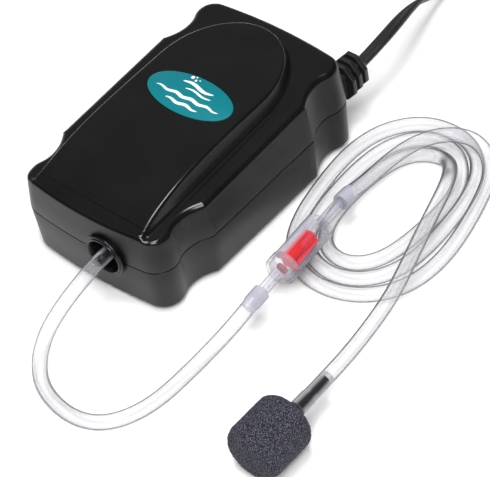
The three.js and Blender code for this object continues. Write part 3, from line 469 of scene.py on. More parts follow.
def turned(profile, start, along, sides):
    """A closed round body: profile is a list of (radius, distance along the axis)."""
    axis = Vector(along).normalized()
    across = axis.orthogonal().normalized()
    other = axis.cross(across)
    rings = []
    for radius, distance in profile:
        middle = Vector(start) + axis * distance
        rings.append([
            tuple(middle + (across * math.cos(angle) + other * math.sin(angle)) * radius)
            for angle in angles(sides)
        ])
    return loft(rings, closed_ends=False)


def rounded(profile, radius, steps=3):
    """The same profile with its inner corners cut by short arcs."""
    points = [Vector(point) for point in profile]
    result = [profile[0]]
    for last, corner, following in zip(points, points[1:], points[2:]):
        back = last - corner
        ahead = following - corner
        reach = min(radius, back.length * 0.45, ahead.length * 0.45)
        a = corner + back.normalized() * reach
        b = corner + ahead.normalized() * reach
        result += [tuple(curve(a, corner, b, t)) for t in shares(steps)]
    return [*result, profile[-1]]


def box_body(low, high):
    (x0, y0, z0), (x1, y1, z1) = low, high
    rings = [[(x0, y0, z), (x1, y0, z), (x1, y1, z), (x0, y1, z)] for z in (z0, z1)]
    return loft(rings)


def boolean(target, shape, operation="DIFFERENCE"):
    """Cuts or joins a closed shape with a piece's mesh."""
    tool = solid("tool", shape)
    modifier = target.modifiers.new("boolean", "BOOLEAN")
    modifier.object = tool
    modifier.operation = operation
    modifier.solver = "EXACT"
    graph = bpy.context.evaluated_depsgraph_get()
    result = bpy.data.meshes.new_from_object(target.evaluated_get(graph))
    target.modifiers.clear()
    target.data = result
    bpy.data.objects.remove(tool)


# ---- housing outline
ROUNDNESS = 0.56


def bezier(p0, p1, p2, p3, count):
    points = []
    for t in shares(count)[:-1]:
        weights = ((1 - t) ** 3, 3 * (1 - t) ** 2 * t, 3 * (1 - t) * t * t, t ** 3)
        points.append(tuple(sum(w * p[k] for w, p in zip(weights, (p0, p1, p2, p3))) for k in (0, 1)))
    return points


def quarter_outline():
    """From the middle of the back end to the middle of the +X side."""
    half = LENGTH / 2
    end_x = COLUMN_WIDTH / 2 - CORNER_RADIUS
    slope = -2 * END_BOW / end_x
    corner_y = half - END_BOW
    column_x, scoop_x, shoulder_x = COLUMN_WIDTH / 2, SCOOP_WIDTH / 2, MID_WIDTH / 2
    reach = ROUNDNESS * CORNER_RADIUS
    points = [(end_x * t, half - END_BOW * t ** 2) for t in shares(14)[:-1]]
    points += bezier(
        (end_x, corner_y),
        (end_x + reach, corner_y + slope * reach),
        (column_x, COLUMN_Y + (corner_y - COLUMN_Y) * ROUNDNESS),
        (column_x, COLUMN_Y),
        14,
    )
    points += bezier(
        (column_x, COLUMN_Y),
        (column_x, COLUMN_Y - (COLUMN_Y - SCOOP_Y) * 0.45),
        (scoop_x, SCOOP_Y + (COLUMN_Y - SCOOP_Y) * 0.5),
        (scoop_x, SCOOP_Y),
        9,
    )
    points += bezier(
        (scoop_x, SCOOP_Y),
        (scoop_x, SCOOP_Y - (SCOOP_Y - MID_END) * 0.5),
        (shoulder_x - (shoulder_x - scoop_x) * 0.36, MID_END + (SCOOP_Y - MID_END) * 0.25),
        (shoulder_x, MID_END),
        12,
    )
    return points + [(shoulder_x, MID_END * (1 - t)) for t in shares(8)]


def whole_outline():
    quarter = quarter_outline()
    half = quarter + [(x, -y) for x, y in quarter[-2::-1]]
    return half + [(-x, y) for x, y in half[-2:0:-1]]


OUTLINE = whole_outline()
COUNT = len(OUTLINE)


def inset_outline(inset):
    """The outline moved inwards; points that would cross at a tight bend are kept in order."""
    half = COUNT // 2
    xs, ys = [], []
    for i in range(half + 1):
        x, y = OUTLINE[i]
        ahead = OUTLINE[(i + 1) % COUNT]
        behind = OUTLINE[i - 1]
        tangent = Vector((ahead[0] - behind[0], ahead[1] - behind[1])).normalized()
        distance = inset(i) if callable(inset) else inset
        xs.append(x + distance * tangent.y)
        ys.append(y - distance * tangent.x)
    least = 0.004
    for _ in range(60):
        for i in range(1, half + 1):
            if ys[i] > ys[i - 1] - least:
                middle = (ys[i] + ys[i - 1]) / 2
                ys[i - 1] = middle + least / 2
                ys[i] = middle - least / 2
    xs[0] = xs[half] = 0.0
    right = list(zip(xs, ys))
    return right + [(-x, y) for x, y in right[-2:0:-1]]


def ring_at(inset, z):
    """A level ring; inset and z are numbers, or functions of the point's index."""
    points = inset_outline(inset)
    return [(x, y, z(i) if callable(z) else z) for i, (x, y) in enumerate(points)]


def shrunk(ring, share):
    """The ring drawn in towards the centre line x = 0."""
    return [(x * (1 - share), y, z) for x, y, z in ring]


def lid_z(y):
    return LID_Z + LID_SLOPE * y


def dome_z(y):
    reach = max(0.0, (DOME_DROP_START - y) / (DOME_DROP_START - DOME_FRONT))
    return DOME_TOP - DOME_DROP * reach ** DOME_DROP_POWER


# ---- the raised top
FOOT_FRONT = -56.7
FOOT_BOW = 1.4
FOOT_CORNER = 2.6


def dome_foot():
    """The closed line where the raised top's flanks meet the lid, as (x, y) points."""
    half = []
    for t in shares(60)[:-1]:
        angle = math.pi / 2 * (1 - t)
        x = (DOME_HALF_WIDTH + FLANK) * math.cos(angle)
        half.append((x, DOME_CENTRE_Y + (DOME_BACK + FLANK) * math.sin(angle)))
    corner_y = FOOT_FRONT + FOOT_BOW + FOOT_CORNER
    for t in shares(60):
        y = mix(DOME_CENTRE_Y, corner_y, t)
        back = (y - DOME_FRONT) / (DOME_CENTRE_Y - DOME_FRONT)
        half.append((DOME_HALF_WIDTH + DOME_FLARE * (1 - back) ** 2 + FLANK, y))
    corner_x = half[-1][0] - FOOT_CORNER
    for angle in quarter_angles(9)[1:-1]:
        half.append((corner_x + FOOT_CORNER * math.cos(angle), corner_y - FOOT_CORNER * math.sin(angle)))
    for t in shares(30):
        x = corner_x * (1 - t)
        half.append((x, FOOT_FRONT + FOOT_BOW * (x / corner_x) ** 2))
    return half + [(-x, y) for x, y in half[-2:0:-1]]


def nearest_on(line, point):
    """The nearest point of a closed line, and the unit direction into the line there."""
    best = None
    p = Vector(point)
    for a, b in zip(line, line[1:] + line[:1]):
        a = Vector(a)
        edge = Vector(b) - a
        t = min(1.0, max(0.0, (p - a).dot(edge) / edge.length_squared))
        q = a + edge * t
        gap = (p - q).length
        if best is None or gap < best[0]:
            best = (gap, q, Vector((edge.y, -edge.x)).normalized())
    return best[1], best[2]


def front_share(i):
    """1 where the raised top runs straight into the front edge, 0 where the lid lies between."""
    x, y = OUTLINE[i]
    return smoothstep(-50, -56, y) * (1 - smoothstep(26.5, 31.5, abs(x)))


def fillet_radius(i):
    return mix(SIDE_FILLET, FRONT_FILLET, smoothstep(-50, -57, OUTLINE[i][1]))


LID_EDGE = inset_outline(lambda i: TOP_INSET + fillet_radius(i))


def edge_height(i):
    """Height of the lid, or of the raised top, at the inner end of the outer fillet."""
    y = LID_EDGE[i][1]
    return mix(lid_z(y), dome_z(y), front_share(i))


def flank_profile(height):
    """(inwards from the foot, share of the height) up the flank, for one height."""
    nominal = max(height, 0.7)
    run = min(FLANK, nominal * 0.75)
    low = min(1.5, nominal * 0.35)
    high = min(1.3, nominal * 0.3)
    start = 1 - high / nominal
    points = [(curve(-low, 0, run * low / nominal, t), curve(0, 0, low / nominal, t)) for t in shares(4)]
    points += [(curve(run * start, run, run + high, t), curve(start, 1, 1, t)) for t in shares(4)]
    return [*points, (run + high + 0.5, 1.0)]


def flank_rings(extra_inset=0.0, below=0.0):
    """Rings from the lid up the flank to the raised top."""
    line = dome_foot()
    columns = []
    for i in range(COUNT):
        foot, inwards = nearest_on(line, LID_EDGE[i])
        base = mix(lid_z(foot.y), dome_z(foot.y), front_share(i))
        height = dome_z(foot.y) - base
        column = []
        for distance, share in flank_profile(height):
            x, y = foot + inwards * (distance + extra_inset)
            level = mix(mix(lid_z(y), dome_z(y), front_share(i)), dome_z(y), share)
            column.append((x, y, level - below))
        columns.append(column)
    return [list(ring) for ring in zip(*columns)]


def upper_shell():
    """Rings from the middle of the inner roof, round the rim, up the wall and over the dome."""
    rim = PARTING_Z + SEAM / 2

    def wall_top(i):
        return edge_height(i) - fillet_radius(i)

    inside = flank_rings(WALL, WALL)[4:7:2]
    rings = [shrunk(inside[-1], share) for share in (1.0, 0.5)]
    rings += inside[::-1]
    rings.append(ring_at(TOP_INSET + WALL + 1.6, lambda i: edge_height(i) - WALL))
    rings.append(ring_at(TOP_INSET + WALL, lambda i: edge_height(i) - SIDE_FILLET))
    rings += [ring_at(inset, rim + rise) for inset, rise in ((WALL, 0), *RIM_EDGE)]
    for share in (0.5, 0.93):
        rings.append(ring_at(TOP_INSET * share, lambda i: mix(rim, wall_top(i), share)))
    for angle in quarter_angles(8):
        rings.append(ring_at(
            lambda i: TOP_INSET + fillet_radius(i) * (1 - math.cos(angle)),
            lambda i: wall_top(i) + fillet_radius(i) * math.sin(angle),
        ))
    rings += flank_rings()
    roof = rings[-1]
    rings += [shrunk(roof, share) for share in (0.1, 0.3, 0.5, 0.75, 1.0)]
    made = piece("housing_top", loft(rings, closed_ends=False), "gloss", "housing_upper", "upper_shell")
    boolean(made, combined(collar_hole(), relief_hole()))
    boolean(made, label_seat())
    shade(made)


def collar_hole():
    return turned([(0, 0), (8.5, 0), (8.5, 11.5), (0, 11.5)], (OUTLET_X, -66, PARTING_Z), BACKWARDS, 96)


def relief_hole():
    return box_body((RELIEF_X - 3.9, 53, PARTING_Z - 5.5), (RELIEF_X + 3.9, 66, PARTING_Z + 5.5))


def ellipse(centre, half, z, count):
    return [
        (centre[0] + half[0] * math.cos(angle), centre[1] + half[1] * math.sin(angle), z)
        for angle in angles(count)
    ]


def label_seat():
    """The shallow recess in the dome that the badge sits in."""
    half = [size + LABEL_GAP for size in LABEL_HALF]
    return loft([ellipse(LABEL_CENTRE, half, DOME_TOP + rise, 128) for rise in (-0.5, 2)])


def lower_shell():
    """Rings from the middle of the underside, up the wall, round the rim and over the inner floor."""
    rim = PARTING_Z - SEAM / 2
    bottom = ring_at(BOTTOM_INSET + BOTTOM_FILLET + 0.5, 0)
    rings = [shrunk(bottom, share) for share in (1.0, 0.75, 0.5, 0.3, 0.1, 0.0)]
    for angle in quarter_angles(6):
        inset = BOTTOM_INSET + BOTTOM_FILLET * (1 - math.sin(angle))
        rings.append(ring_at(inset, BOTTOM_FILLET * (1 - math.cos(angle))))
    for share in (0.05, 0.5):
        rings.append(ring_at(BOTTOM_INSET * (1 - share), mix(BOTTOM_FILLET, rim, share)))
    rings += [ring_at(inset, rim - drop) for inset, drop in (*RIM_EDGE[::-1], (WALL, 0))]
    inside = ring_at(WALL + BOTTOM_INSET, FLOOR)
    rings += [shrunk(inside, share) for share in (0.0, 0.5, 1.0)]
    made = piece("housing_tub", loft(rings, closed_ends=False), "gloss", "housing_lower", "lower_shell")
    boss = [(0, 1), (3.9, 1), (3.9, 19.6), (0, 19.6)]
    boolean(made, combined(*[turned(boss, (x, y, 0), UP, 40) for x, y in SCREW_PLACES]), "UNION")
    screw_hole = [(0, -1), (3.0, -1), (3.0, 3.4), (1.7, 3.4), (1.7, 22), (0, 22)]
    foot_hole = [(0, -1), (2, -1), (2, 6), (0, 6)]
    holes = [turned(screw_hole, (x, y, 0), UP, 48) for x, y in SCREW_PLACES]
    holes += [turned(foot_hole, (x, y, 0), UP, 32) for x, y in FOOT_PLACES]
    x, y = FILTER_PLACE
    holes.append(box_body((x - FILTER_HALF, y - FILTER_HALF, -1), (x + FILTER_HALF, y + FILTER_HALF, 4)))
    boolean(made, combined(*holes, collar_hole(), relief_hole()))
    shade(made)


# ---- label
def flat_ellipse(centre, half, low, high, count=96):
    soft = min(0.12, (high - low) / 3)
    return loft([
        ellipse(centre, [size - inset for size in half], z, count)
        for inset, z in ((0, low), (0, high - soft), (soft * 0.3, high - soft * 0.3), (soft, high))
    ])


def ribbon(points, widths, low, high):
    """A flat stroke along points in the label's own plane, as wide as widths say."""
    left = []
    right = []
    for i, point in enumerate(points):
        ahead = Vector(points[min(i + 1, len(points) - 1)])
        behind = Vector(points[max(i - 1, 0)])
        direction = (ahead - behind).normalized()
        side = Vector((-direction.y, direction.x)) * widths[i] / 2
        left.append(Vector(point) + side)
        right.append(Vector(point) - side)
    outline = left + right[::-1]
    return loft([[(p.x, p.y, z) for p in outline] for z in (low, high)])


def wave(x0, x1, y, height, swings, width):
    """A stroke that swings up and down and thins out at both ends."""
    points = []
    widths = []
    for t in shares(36):
        points.append((mix(x0, x1, t), y + height * math.sin(2 * math.pi * swings * t)))
        widths.append(width * (0.12 + 0.88 * math.sin(math.pi * t) ** 0.6))
    return points, widths


def label():
    top = DOME_TOP + 0.2
    badge = flat_ellipse(LABEL_CENTRE, LABEL_HALF, DOME_TOP - 0.2, top)
    piece("label_plate", badge, "label", "label", "label_badge")
    cx, cy = LABEL_CENTRE
    low, high = top - 0.02, top + 0.04
    art = []
    for x, y, radius in ((-5.6, 8.3, 0.75), (-3.4, 7.5, 0.5), (-4.1, 9.1, 0.38), (-1.9, 8.2, 0.3)):
        art.append(flat_ellipse((cx + x, cy + y), (radius, radius), low, high, 28))
    for points, widths in (
        wave(-7.6, 7.8, 4.9, 0.75, 1.0, 1.5),
        wave(-4.2, 8.6, 2.2, 0.5, 1.0, 0.9),
        wave(-15.6, 15.6, -1.8, 0.4, 4.0, 1.5),
        wave(-8.0, 8.0, -5.4, 0.4, 2.0, 1.4),
    ):
        art.append(ribbon([(cx + x, cy + y) for x, y in points], widths, low, high))
    piece("label_art", combined(*art), "ink", "label")


# ---- feet, screws and filter
def underside():
    pad = [(0, 0), (4.6, 0), (5.5, 0.7), (5.5, 1.9), (1.9, 1.9), (1.9, 4.6), (2.6, 4.7), (1.8, 6.2), (0, 6.2)]
    for i, (x, y) in enumerate(FOOT_PLACES, 1):
        foot = turned(rounded(pad, 0.3), (x, y, FLOOR_Z), UP, 48)
        piece(f"foot_pad_{i}", foot, "rubber", "feet", f"rubber_foot_{i}")
    shank = [(0, 0), (2.2, 0.1), (2.7, 0.7), (2.7, 1.6), (1.4, 1.6), (1.4, 26), (0, 27)]
    for i, (x, y) in enumerate(SCREW_PLACES, 1):
        screw = turned(rounded(shank, 0.2), (x, y, 1.5), UP, 40)
        made = piece(f"case_screw_{i}", screw, "steel", "fasteners", f"housing_screw_{i}")
        for half_x, half_y in ((1.6, 0.28), (0.28, 1.6)):
            boolean(made, box_body((x - half_x, y - half_y, 0), (x + half_x, y + half_y, 2.3)))
        shade(made)


# ---- air outlet
def outlet():
    lip = [
        (2.3, 8.8), (7.05, 8.8), (7.05, 1.5), (7.5, 0.1), (8.25, 0.0), (8.5, 0.5), (8.75, 0.55),
        (9.25, 0.35), (9.6, 0.7), (9.6, 1.25), (8.2, 1.25), (8.2, 10.4), (2.3, 10.4), (2.3, 8.8),
    ]
    collar = turned(rounded(lip, 0.3, 4), (OUTLET_X, -61.4, PARTING_Z), BACKWARDS, 96)
    piece("outlet_lip", collar, "gloss", "collar", "outlet_collar")
    tube = [
        (1, 0), (1.4, 0), (1.9, 1.8), (1.6, 2.2), (1.9, 4.4), (1.9, 12.6), (4.2, 12.6),
        (4.2, 14.1), (1.9, 14.1), (1.9, 17.1), (1, 17.1), (1, 0),
    ]
    barb = turned(rounded(tube, 0.15), (OUTLET_X, -63.3, PARTING_Z), BACKWARDS, 56)
    piece("outlet_barb", barb, "matt", "nozzle", "outlet_nozzle")


# ---- strain relief
RIB_OUTER_Y = 71.2
RIB_PITCH = 3.9
RIB_THICKNESS = 2.1


def octagon(half, cut, y, inset):
    half_x, half_z = [size - inset for size in half]
    points = []
    for sx, sz in ((1, 1), (-1, 1), (-1, -1), (1, -1)):
        side = (RELIEF_X + sx * half_x, y, PARTING_Z + sz * (half_z - cut[1]))
        end = (RELIEF_X + sx * (half_x - cut[0]), y, PARTING_Z + sz * half_z)
        points += [side, end] if sx * sz > 0 else [end, side]
    return points


def plate(half, cut, y0, y1, soft=0.35):
    """An octagonal plate across the lead, with softened edges."""
    return loft([octagon(half, cut, y, inset) for y, inset in (
        (y0, soft), (y0 + soft * 0.3, soft * 0.3), (y0 + soft, 0),
        (y1 - soft, 0), (y1 - soft * 0.3, soft * 0.3), (y1, soft),
    )])


def strain_relief():
    parts = [
        plate((3.6, 5.2), (0.6, 0.6), 53, RIB_OUTER_Y - 0.5, 0.2),
        plate((4.4, 6.2), (1, 1), 52, 54.2, 0.2),
    ]
    for i in range(3):
        outer = RIB_OUTER_Y - i * RIB_PITCH
        grow = 0.2 * i
        parts.append(plate((6.6 + grow, 8.1 + grow), (4.2, 5), outer - RIB_THICKNESS, outer))
    nose = rounded([(0, 0), (4.3, 0), (4.1, 1.2), (3.3, 3.3), (0, 3.4)], 0.3)
    parts.append(turned(nose, (RELIEF_X, RIB_OUTER_Y - 0.4, PARTING_Z), BACKWARDS, 40))
    piece("cord_gland", combined(*parts), "rubber", "strain_relief", "strain_relief", crease=25)


# ---- cords and hoses
CORD_SIDES = 28
SWELL = (6.4, 7.6)  # how far from a fitted end the hose narrows back to its own size
END_EDGE = 0.15
CLOSED = 0.02


def between(a, b, low, high, t):
    return a * ((high - t) / (high - low)) + b * ((t - low) / (high - low))


def smooth_route(points, spacing):
    """An even walk along a centripetal Catmull-Rom curve through the points."""
    p = [Vector(point) for point in points]
    p = [p[0] * 2 - p[1]] + p + [p[-1] * 2 - p[-2]]
    dense = []
    for a, b, c, d in zip(p, p[1:], p[2:], p[3:]):
        t0 = 0.0
        t1 = t0 + max(1e-6, (b - a).length) ** 0.5
        t2 = t1 + max(1e-6, (c - b).length) ** 0.5
        t3 = t2 + max(1e-6, (d - c).length) ** 0.5
        for share in shares(12)[:-1]:
            t = mix(t1, t2, share)
            inner = between(b, c, t1, t2, t)
            first = between(between(a, b, t0, t1, t), inner, t0, t2, t)
            second = between(inner, between(c, d, t2, t3, t), t1, t3, t)
            dense.append(between(first, second, t1, t2, t))
    dense.append(p[-2].copy())
    length = walk_length(dense)
    count = max(4, round(length / spacing))
    walk = [dense[0]]
    travelled = 0.0
    for a, b in zip(dense, dense[1:]):
        step = (b - a).length
        while step > 0 and travelled + step >= len(walk) * length / count - 1e-9 and len(walk) <= count:
            walk.append(a.lerp(b, (len(walk) * length / count - travelled) / step))
        travelled += step
    walk[-1] = dense[-1]
    return walk


def relaxed(walk, passes):
    """The walk with small kinks smoothed out, its ends held."""
    for _ in range(passes):
        middle = [a * 0.25 + b * 0.5 + c * 0.25 for a, b, c in zip(walk, walk[1:], walk[2:])]
        walk = [walk[0], *middle, walk[-1]]
    return walk


def walk_length(walk):
    return sum((b - a).length for a, b in zip(walk, walk[1:]))


def frames(walk):
    """(level sideways direction, upwards direction) at each point of a walk."""
    result = []
    for i in range(len(walk)):
        tangent = (walk[min(i + 1, len(walk) - 1)] - walk[max(i - 1, 0)]).normalized()
        side = tangent.cross(Vector((0, 0, 1))).normalized()
        result.append((side, side.cross(tangent)))
    return result


def hose_mesh(walk, end_growth, bore_depth):
    """A round hose: solid to look at, with an open bore at each end for the barb inside it."""
    total = walk_length(walk)
    directions = frames(walk)
    distances = [0.0]
    for a, b in zip(walk, walk[1:]):
        distances.append(distances[-1] + (b - a).length)

    def ring(i, radius):
        side, up = directions[i]
        return [
            tuple(walk[i] + (side * math.cos(angle) + up * math.sin(angle)) * radius)
            for angle in angles(CORD_SIDES)
        ]

    def outer(i):
        swell = end_growth[0] * (1 - smoothstep(*SWELL, distances[i]))
        return HOSE_RADIUS + swell + end_growth[1] * (1 - smoothstep(*SWELL, total - distances[i]))

    last = len(walk) - 1
    start_bore = max(1, sum(1 for d in distances if d <= bore_depth[0]) - 1)
    end_bore = last - max(1, sum(1 for d in distances if total - d <= bore_depth[1]) - 1)
    return loft([
        ring(start_bore, CLOSED),
        *[ring(i, HOSE_BORE) for i in range(start_bore, -1, -1)],
        ring(0, outer(0) - END_EDGE),
        *[ring(i, outer(i)) for i in range(last + 1)],
        ring(last, outer(last) - END_EDGE),
        *[ring(i, HOSE_BORE) for i in range(last, end_bore - 1, -1)],
        ring(end_bore, CLOSED),
    ])


VALVE_LOW_END = Vector((64.2, -25, 10.8))
VALVE_AXIS = Vector((-0.0802, 0.9968, 0)).normalized()


def on_valve(distance):
    return tuple(VALVE_LOW_END + VALVE_AXIS * distance)


OUTLET_HOSE_ROUTE = [
    (OUTLET_X, -56, PARTING_Z), (9.7, -64, 20.2), (9.4, -73, 18.2), (9, -83.5, 14.8), (8.8, -93, 10),
    (10.4, -100, 6.2), (13.2, -105, 3.6), (18.5, -110, 1.6), (28.3, -114.1, HOSE_ON_FLOOR),
    (39.8, -115.3, HOSE_ON_FLOOR), (48.4, -112.8, HOSE_ON_FLOOR), (54.3, -107.4, HOSE_ON_FLOOR),
    (58.6, -98.9, HOSE_ON_FLOOR), (60.8, -89, 1.2), (62, -76, 2.2), (63.2, -64.3, 4.2), (64.7, -53, 7.4),
    (65.4, -46.5, 9.6), on_valve(-16.6), on_valve(-10.6),
]
COIL_LEAD_ROUTE = [
    on_valve(42), on_valve(47), (60.8, 29, 9.4), (60.5, 37, 8.3), (60.4, 46, 7.6), (61.2, 54, 7.4),
    (63.4, 61.6, 7.4), (67.5, 68.2, 7.4), (73.4, 72.9, 7.4),
]
COIL_START = [(80.6, 75, 7.3), (87.6, 73.4, 6.1), (92.9, 69.2, 4)]
COIL_FINISH = [
    (62.6, 60.6, HOSE_ON_FLOOR), (66.2, 62.9, HOSE_ON_FLOOR), (70.7, 63.9, 1.2), (75.6, 63.2, 2.7),
    (80, 60.5, 4.9), (83.6, 56, 6.5), (86, 51, 7),
]
STONE_HOSE_ROUTE = [
    (88, 46, 7.4), (92, 33, 7.6), (96.6, 18.6, 7.6), (101.2, 4.4, 7.6), (104.8, -8, 7.5), (107.6, -24, 7.6),
    (109.5, -38, 8.2), (110.7, -48.5, 9.3), (111.3, -56, 9.9), (111.5, -62, 10), (111.6, -71, 10),
]
# Turns from the coil's far (+Y) end, clockwise from above, and the share of the way from the
# innermost oval (0) to the outermost (1).
COIL_TURNS = [
    (0.19, 1.42), (0.28, 1.42), (0.5, 1.2), (0.62, 1.24), (0.75, 1.08), (0.94, 0.86), (1.0, 0.78),
    (1.06, 0.75), (1.13, 0.68), (1.25, 0.61), (1.5, 0.54), (1.62, 0.56), (1.75, 0.46), (1.94, 0.4),
    (2.0, 0.33), (2.06, 0.18), (2.13, -0.12), (2.25, -0.24), (2.5, -0.1), (2.62, -0.12), (2.75, -0.08),
    (2.84, -0.08),
]
COIL_FIRST_LIFT = 1.8
COIL_POINTS_PER_TURN = 20
COIL_OUTER = {"centre": (70.9, 34.6), "half": (28.7, 47.5), "turn": 8.3}
COIL_INNER = {"centre": (72.9, 32.2), "half": (18.6, 34.0), "turn": -0.6}
COIL_END_ROUNDNESS = 0.5


def coil_point(turns, share):
    """A point of the oval that lies a share of the way from the innermost to the outermost."""
    centre, half = [
        [mix(a, b, share) for a, b in zip(COIL_INNER[name], COIL_OUTER[name])]
        for name in ("centre", "half")
    ]
    turn = math.radians(mix(COIL_INNER["turn"], COIL_OUTER["turn"], share))
    angle = math.pi / 2 - 2 * math.pi * turns
    x = half[0] * math.cos(angle)
    across = math.sin(angle)
    straight = across * math.hypot(1, COIL_END_ROUNDNESS) / math.hypot(across, COIL_END_ROUNDNESS)
    y = half[0] * across + (half[1] - half[0]) * straight
    return (
        centre[0] + x * math.cos(turn) - y * math.sin(turn),
        centre[1] + x * math.sin(turn) + y * math.cos(turn),
    )


def coil_share(turns):
    """How far out the hose is, after a number of turns."""
    for (t0, low), (t1, high) in zip(COIL_TURNS, COIL_TURNS[1:]):
        if turns <= t1:
            return mix(low, high, smoothstep(t0, t1, turns))
    return COIL_TURNS[-1][1]


def coil_route():
    """Points round the coil; the hose comes down to the floor at its start."""
    first, landed, last = [COIL_TURNS[k][0] for k in (0, 1, -1)]
    route = []
    for t in shares(round((last - first) * COIL_POINTS_PER_TURN)):
        turns = mix(first, last, t)
        lift = mix(COIL_FIRST_LIFT, 0, smoothstep(first, landed, turns))
        route.append((*coil_point(turns, coil_share(turns)), HOSE_ON_FLOOR + lift))
    return route


def end_look(made, walk, depth, material):
    """Gives the first stretch of a hose, which is pushed over a barb, another material."""
    gone = 0.0
    near = []
    for a, b in zip(walk, walk[1:]):
        if gone > depth:
            break
        near.append(place(*((a + b) / 2)))
        gone += (b - a).length
    made.data.materials.append(M[material])
    index = len(made.data.materials) - 1
    for polygon in made.data.polygons:
        if min((polygon.center - spot).length for spot in near) < (HOSE_RADIUS + 0.6) * MM:
            polygon.material_index = index


def airline():
    first = relaxed(smooth_route(OUTLET_HOSE_ROUTE, 1.5), 3)
    shape = hose_mesh(first, (0.0, 0.4), (7.4, 7.2))
    outlet_hose = piece("airline_outlet", shape, "hose", "airline", "outlet_hose", crease=50)
    end_look(outlet_hose, first, 6.0, "over_barb")
    end_look(outlet_hose, first[::-1], 6.2, "sleeve")
    route = [*COIL_LEAD_ROUTE, *COIL_START, *coil_route(), *COIL_FINISH, *STONE_HOSE_ROUTE]
    second = relaxed(smooth_route(route, 1.5), 20)
    shape = hose_mesh(second, (0.4, 0.25), (7.2, 16.6))
    nodes = ("coil_lead", "hose_coil", "stone_hose")
    coil_hose = piece("airline_coil", shape, "hose", "airline", *nodes, crease=50)
    end_look(coil_hose, second, 5.8, "sleeve")
    end_look(coil_hose, second[::-1], 15.6, "over_barb")
    return outlet_hose, first, coil_hose, second


# ---- mains lead
CORD_HALF_WIDTH = 2.7
CORD_HALF_THICKNESS = 1.35
GROOVE_DEPTH = 0.32  # as a share of the thickness
GROOVE_WIDTH = 0.55
LEAD_COIL_CENTRE = (-18, 172)
LEAD_COIL_RADIUS = 33.2
LEAD_COIL_PITCH = 2.8
MAINS_ROUTE = [
    (RELIEF_X, 74.5, PARTING_Z), (25.9, 80, 20.5), (25.7, 85.5, 20.9), (25.3, 91, 21), (24.5, 97, 20.7),
    (23.3, 103, 19.9), (21.8, 109, 18.4), (20.1, 115, 16.2), (18.4, 121, 13.4), (16.9, 127, 10.3),
    (15.6, 133, 7.1), (14.7, 139, 4.2), (14.2, 144.5, 2.1), (13.9, 149.5, 1.1), (13.9, 153.8, 0.8),
]
PLUG_REAR = (-53.8, 152)
PLUG_Z = FLOOR_Z + 6.5
PLUG_LENGTH = 24
BLADE_OFFSET = 6.35


def mains_coil():
    """Two layers of flat lead on its edge: inwards below, up, and outwards on top."""
    per_turn = 28
    climb_start, climb_end, last = 3.0, 3.4, 6.5
    points = []
    for i in range(1, round(last * per_turn) + 1):
        t = i / per_turn
        inwards = min(t, climb_start) if t <= climb_end else climb_start + climb_end - t
        radius = LEAD_COIL_RADIUS - LEAD_COIL_PITCH * inwards
        angle = 2 * math.pi * t
        x = LEAD_COIL_CENTRE[0] + radius * math.cos(angle)
        y = LEAD_COIL_CENTRE[1] + radius * math.sin(angle)
        points.append((x, y, mix(0.75, 6.25, smoothstep(climb_start - 0.02, climb_end, t))))
    return points


def flat_cord(walk, roll_at):
    """A flat two-ridged lead; roll_at(share of the way, point) gives its roll in radians."""
    rings = []
    for i, (point, (side, up)) in enumerate(zip(walk, frames(walk))):
        roll = roll_at(i / (len(walk) - 1), point)
        u = side * math.cos(roll) + up * math.sin(roll)
        v = up * math.cos(roll) - side * math.sin(roll)
        ring = []
        for angle in angles(CORD_SIDES):
            x = CORD_HALF_WIDTH * math.cos(angle)
            groove = 1 - GROOVE_DEPTH * math.exp(-((x / GROOVE_WIDTH) ** 2))
            y = CORD_HALF_THICKNESS * boxy(math.sin(angle), 0.62) * groove
            ring.append(tuple(point + u * x + v * y))
        rings.append(ring)
    return loft(rings)


def mains_lead():
    x, y = PLUG_REAR
    tail = [(-52.4, 160.5, 6.0), (-53.3, 156.4, 5.2), (x, y + 0.6, PLUG_Z)]
    walk = relaxed(smooth_route([*MAINS_ROUTE, *mains_coil(), *tail], 1.6), 4)

    def roll(share, point):
        if share < 0.5:
            return math.pi / 2 * smoothstep(92, 150, point.y)
        return math.pi / 2 * smoothstep(153, 170, point.y) if share > 0.985 else math.pi / 2

    nodes = ("mains_cord", "mains_cord_coil", "plug_lead")
    made = piece("mains_lead", flat_cord(walk, roll), "rubber", "mains_lead", *nodes, crease=60)
    return made, walk


def lead_tie():
    """A strap over the mains lead's coil."""
    cx, middle = LEAD_COIL_CENTRE[0], LEAD_COIL_CENTRE[1] + 29
    low, top = FLOOR_Z, FLOOR_Z + 11.5
    clear, skin = 6.1, 1.2
    outer = clear + skin
    outline = [
        (outer, low), (outer, top), (clear, top + skin), (-clear, top + skin), (-outer, top), (-outer, low),
        (-clear, low), (-clear, top - 0.2), (0.6 - clear, top), (clear - 0.6, top), (clear, top - 0.2),
        (clear, low),
    ]
    strap = loft([[(x, middle - y, z) for y, z in outline] for x in (cx - 2.5, cx + 2.5)])
    return piece("lead_tie", strap, "matt", "cord_tie", "cord_tie")


def plug_slice(y, half_x, half_z):
    """One rounded oblong across the plug's body."""
    ring = []
    for angle in angles(40):
        x = PLUG_REAR[0] + half_x * boxy(math.cos(angle), 0.45)
        ring.append((x, PLUG_REAR[1] + y, PLUG_Z + half_z * boxy(math.sin(angle), 0.45)))
    return ring


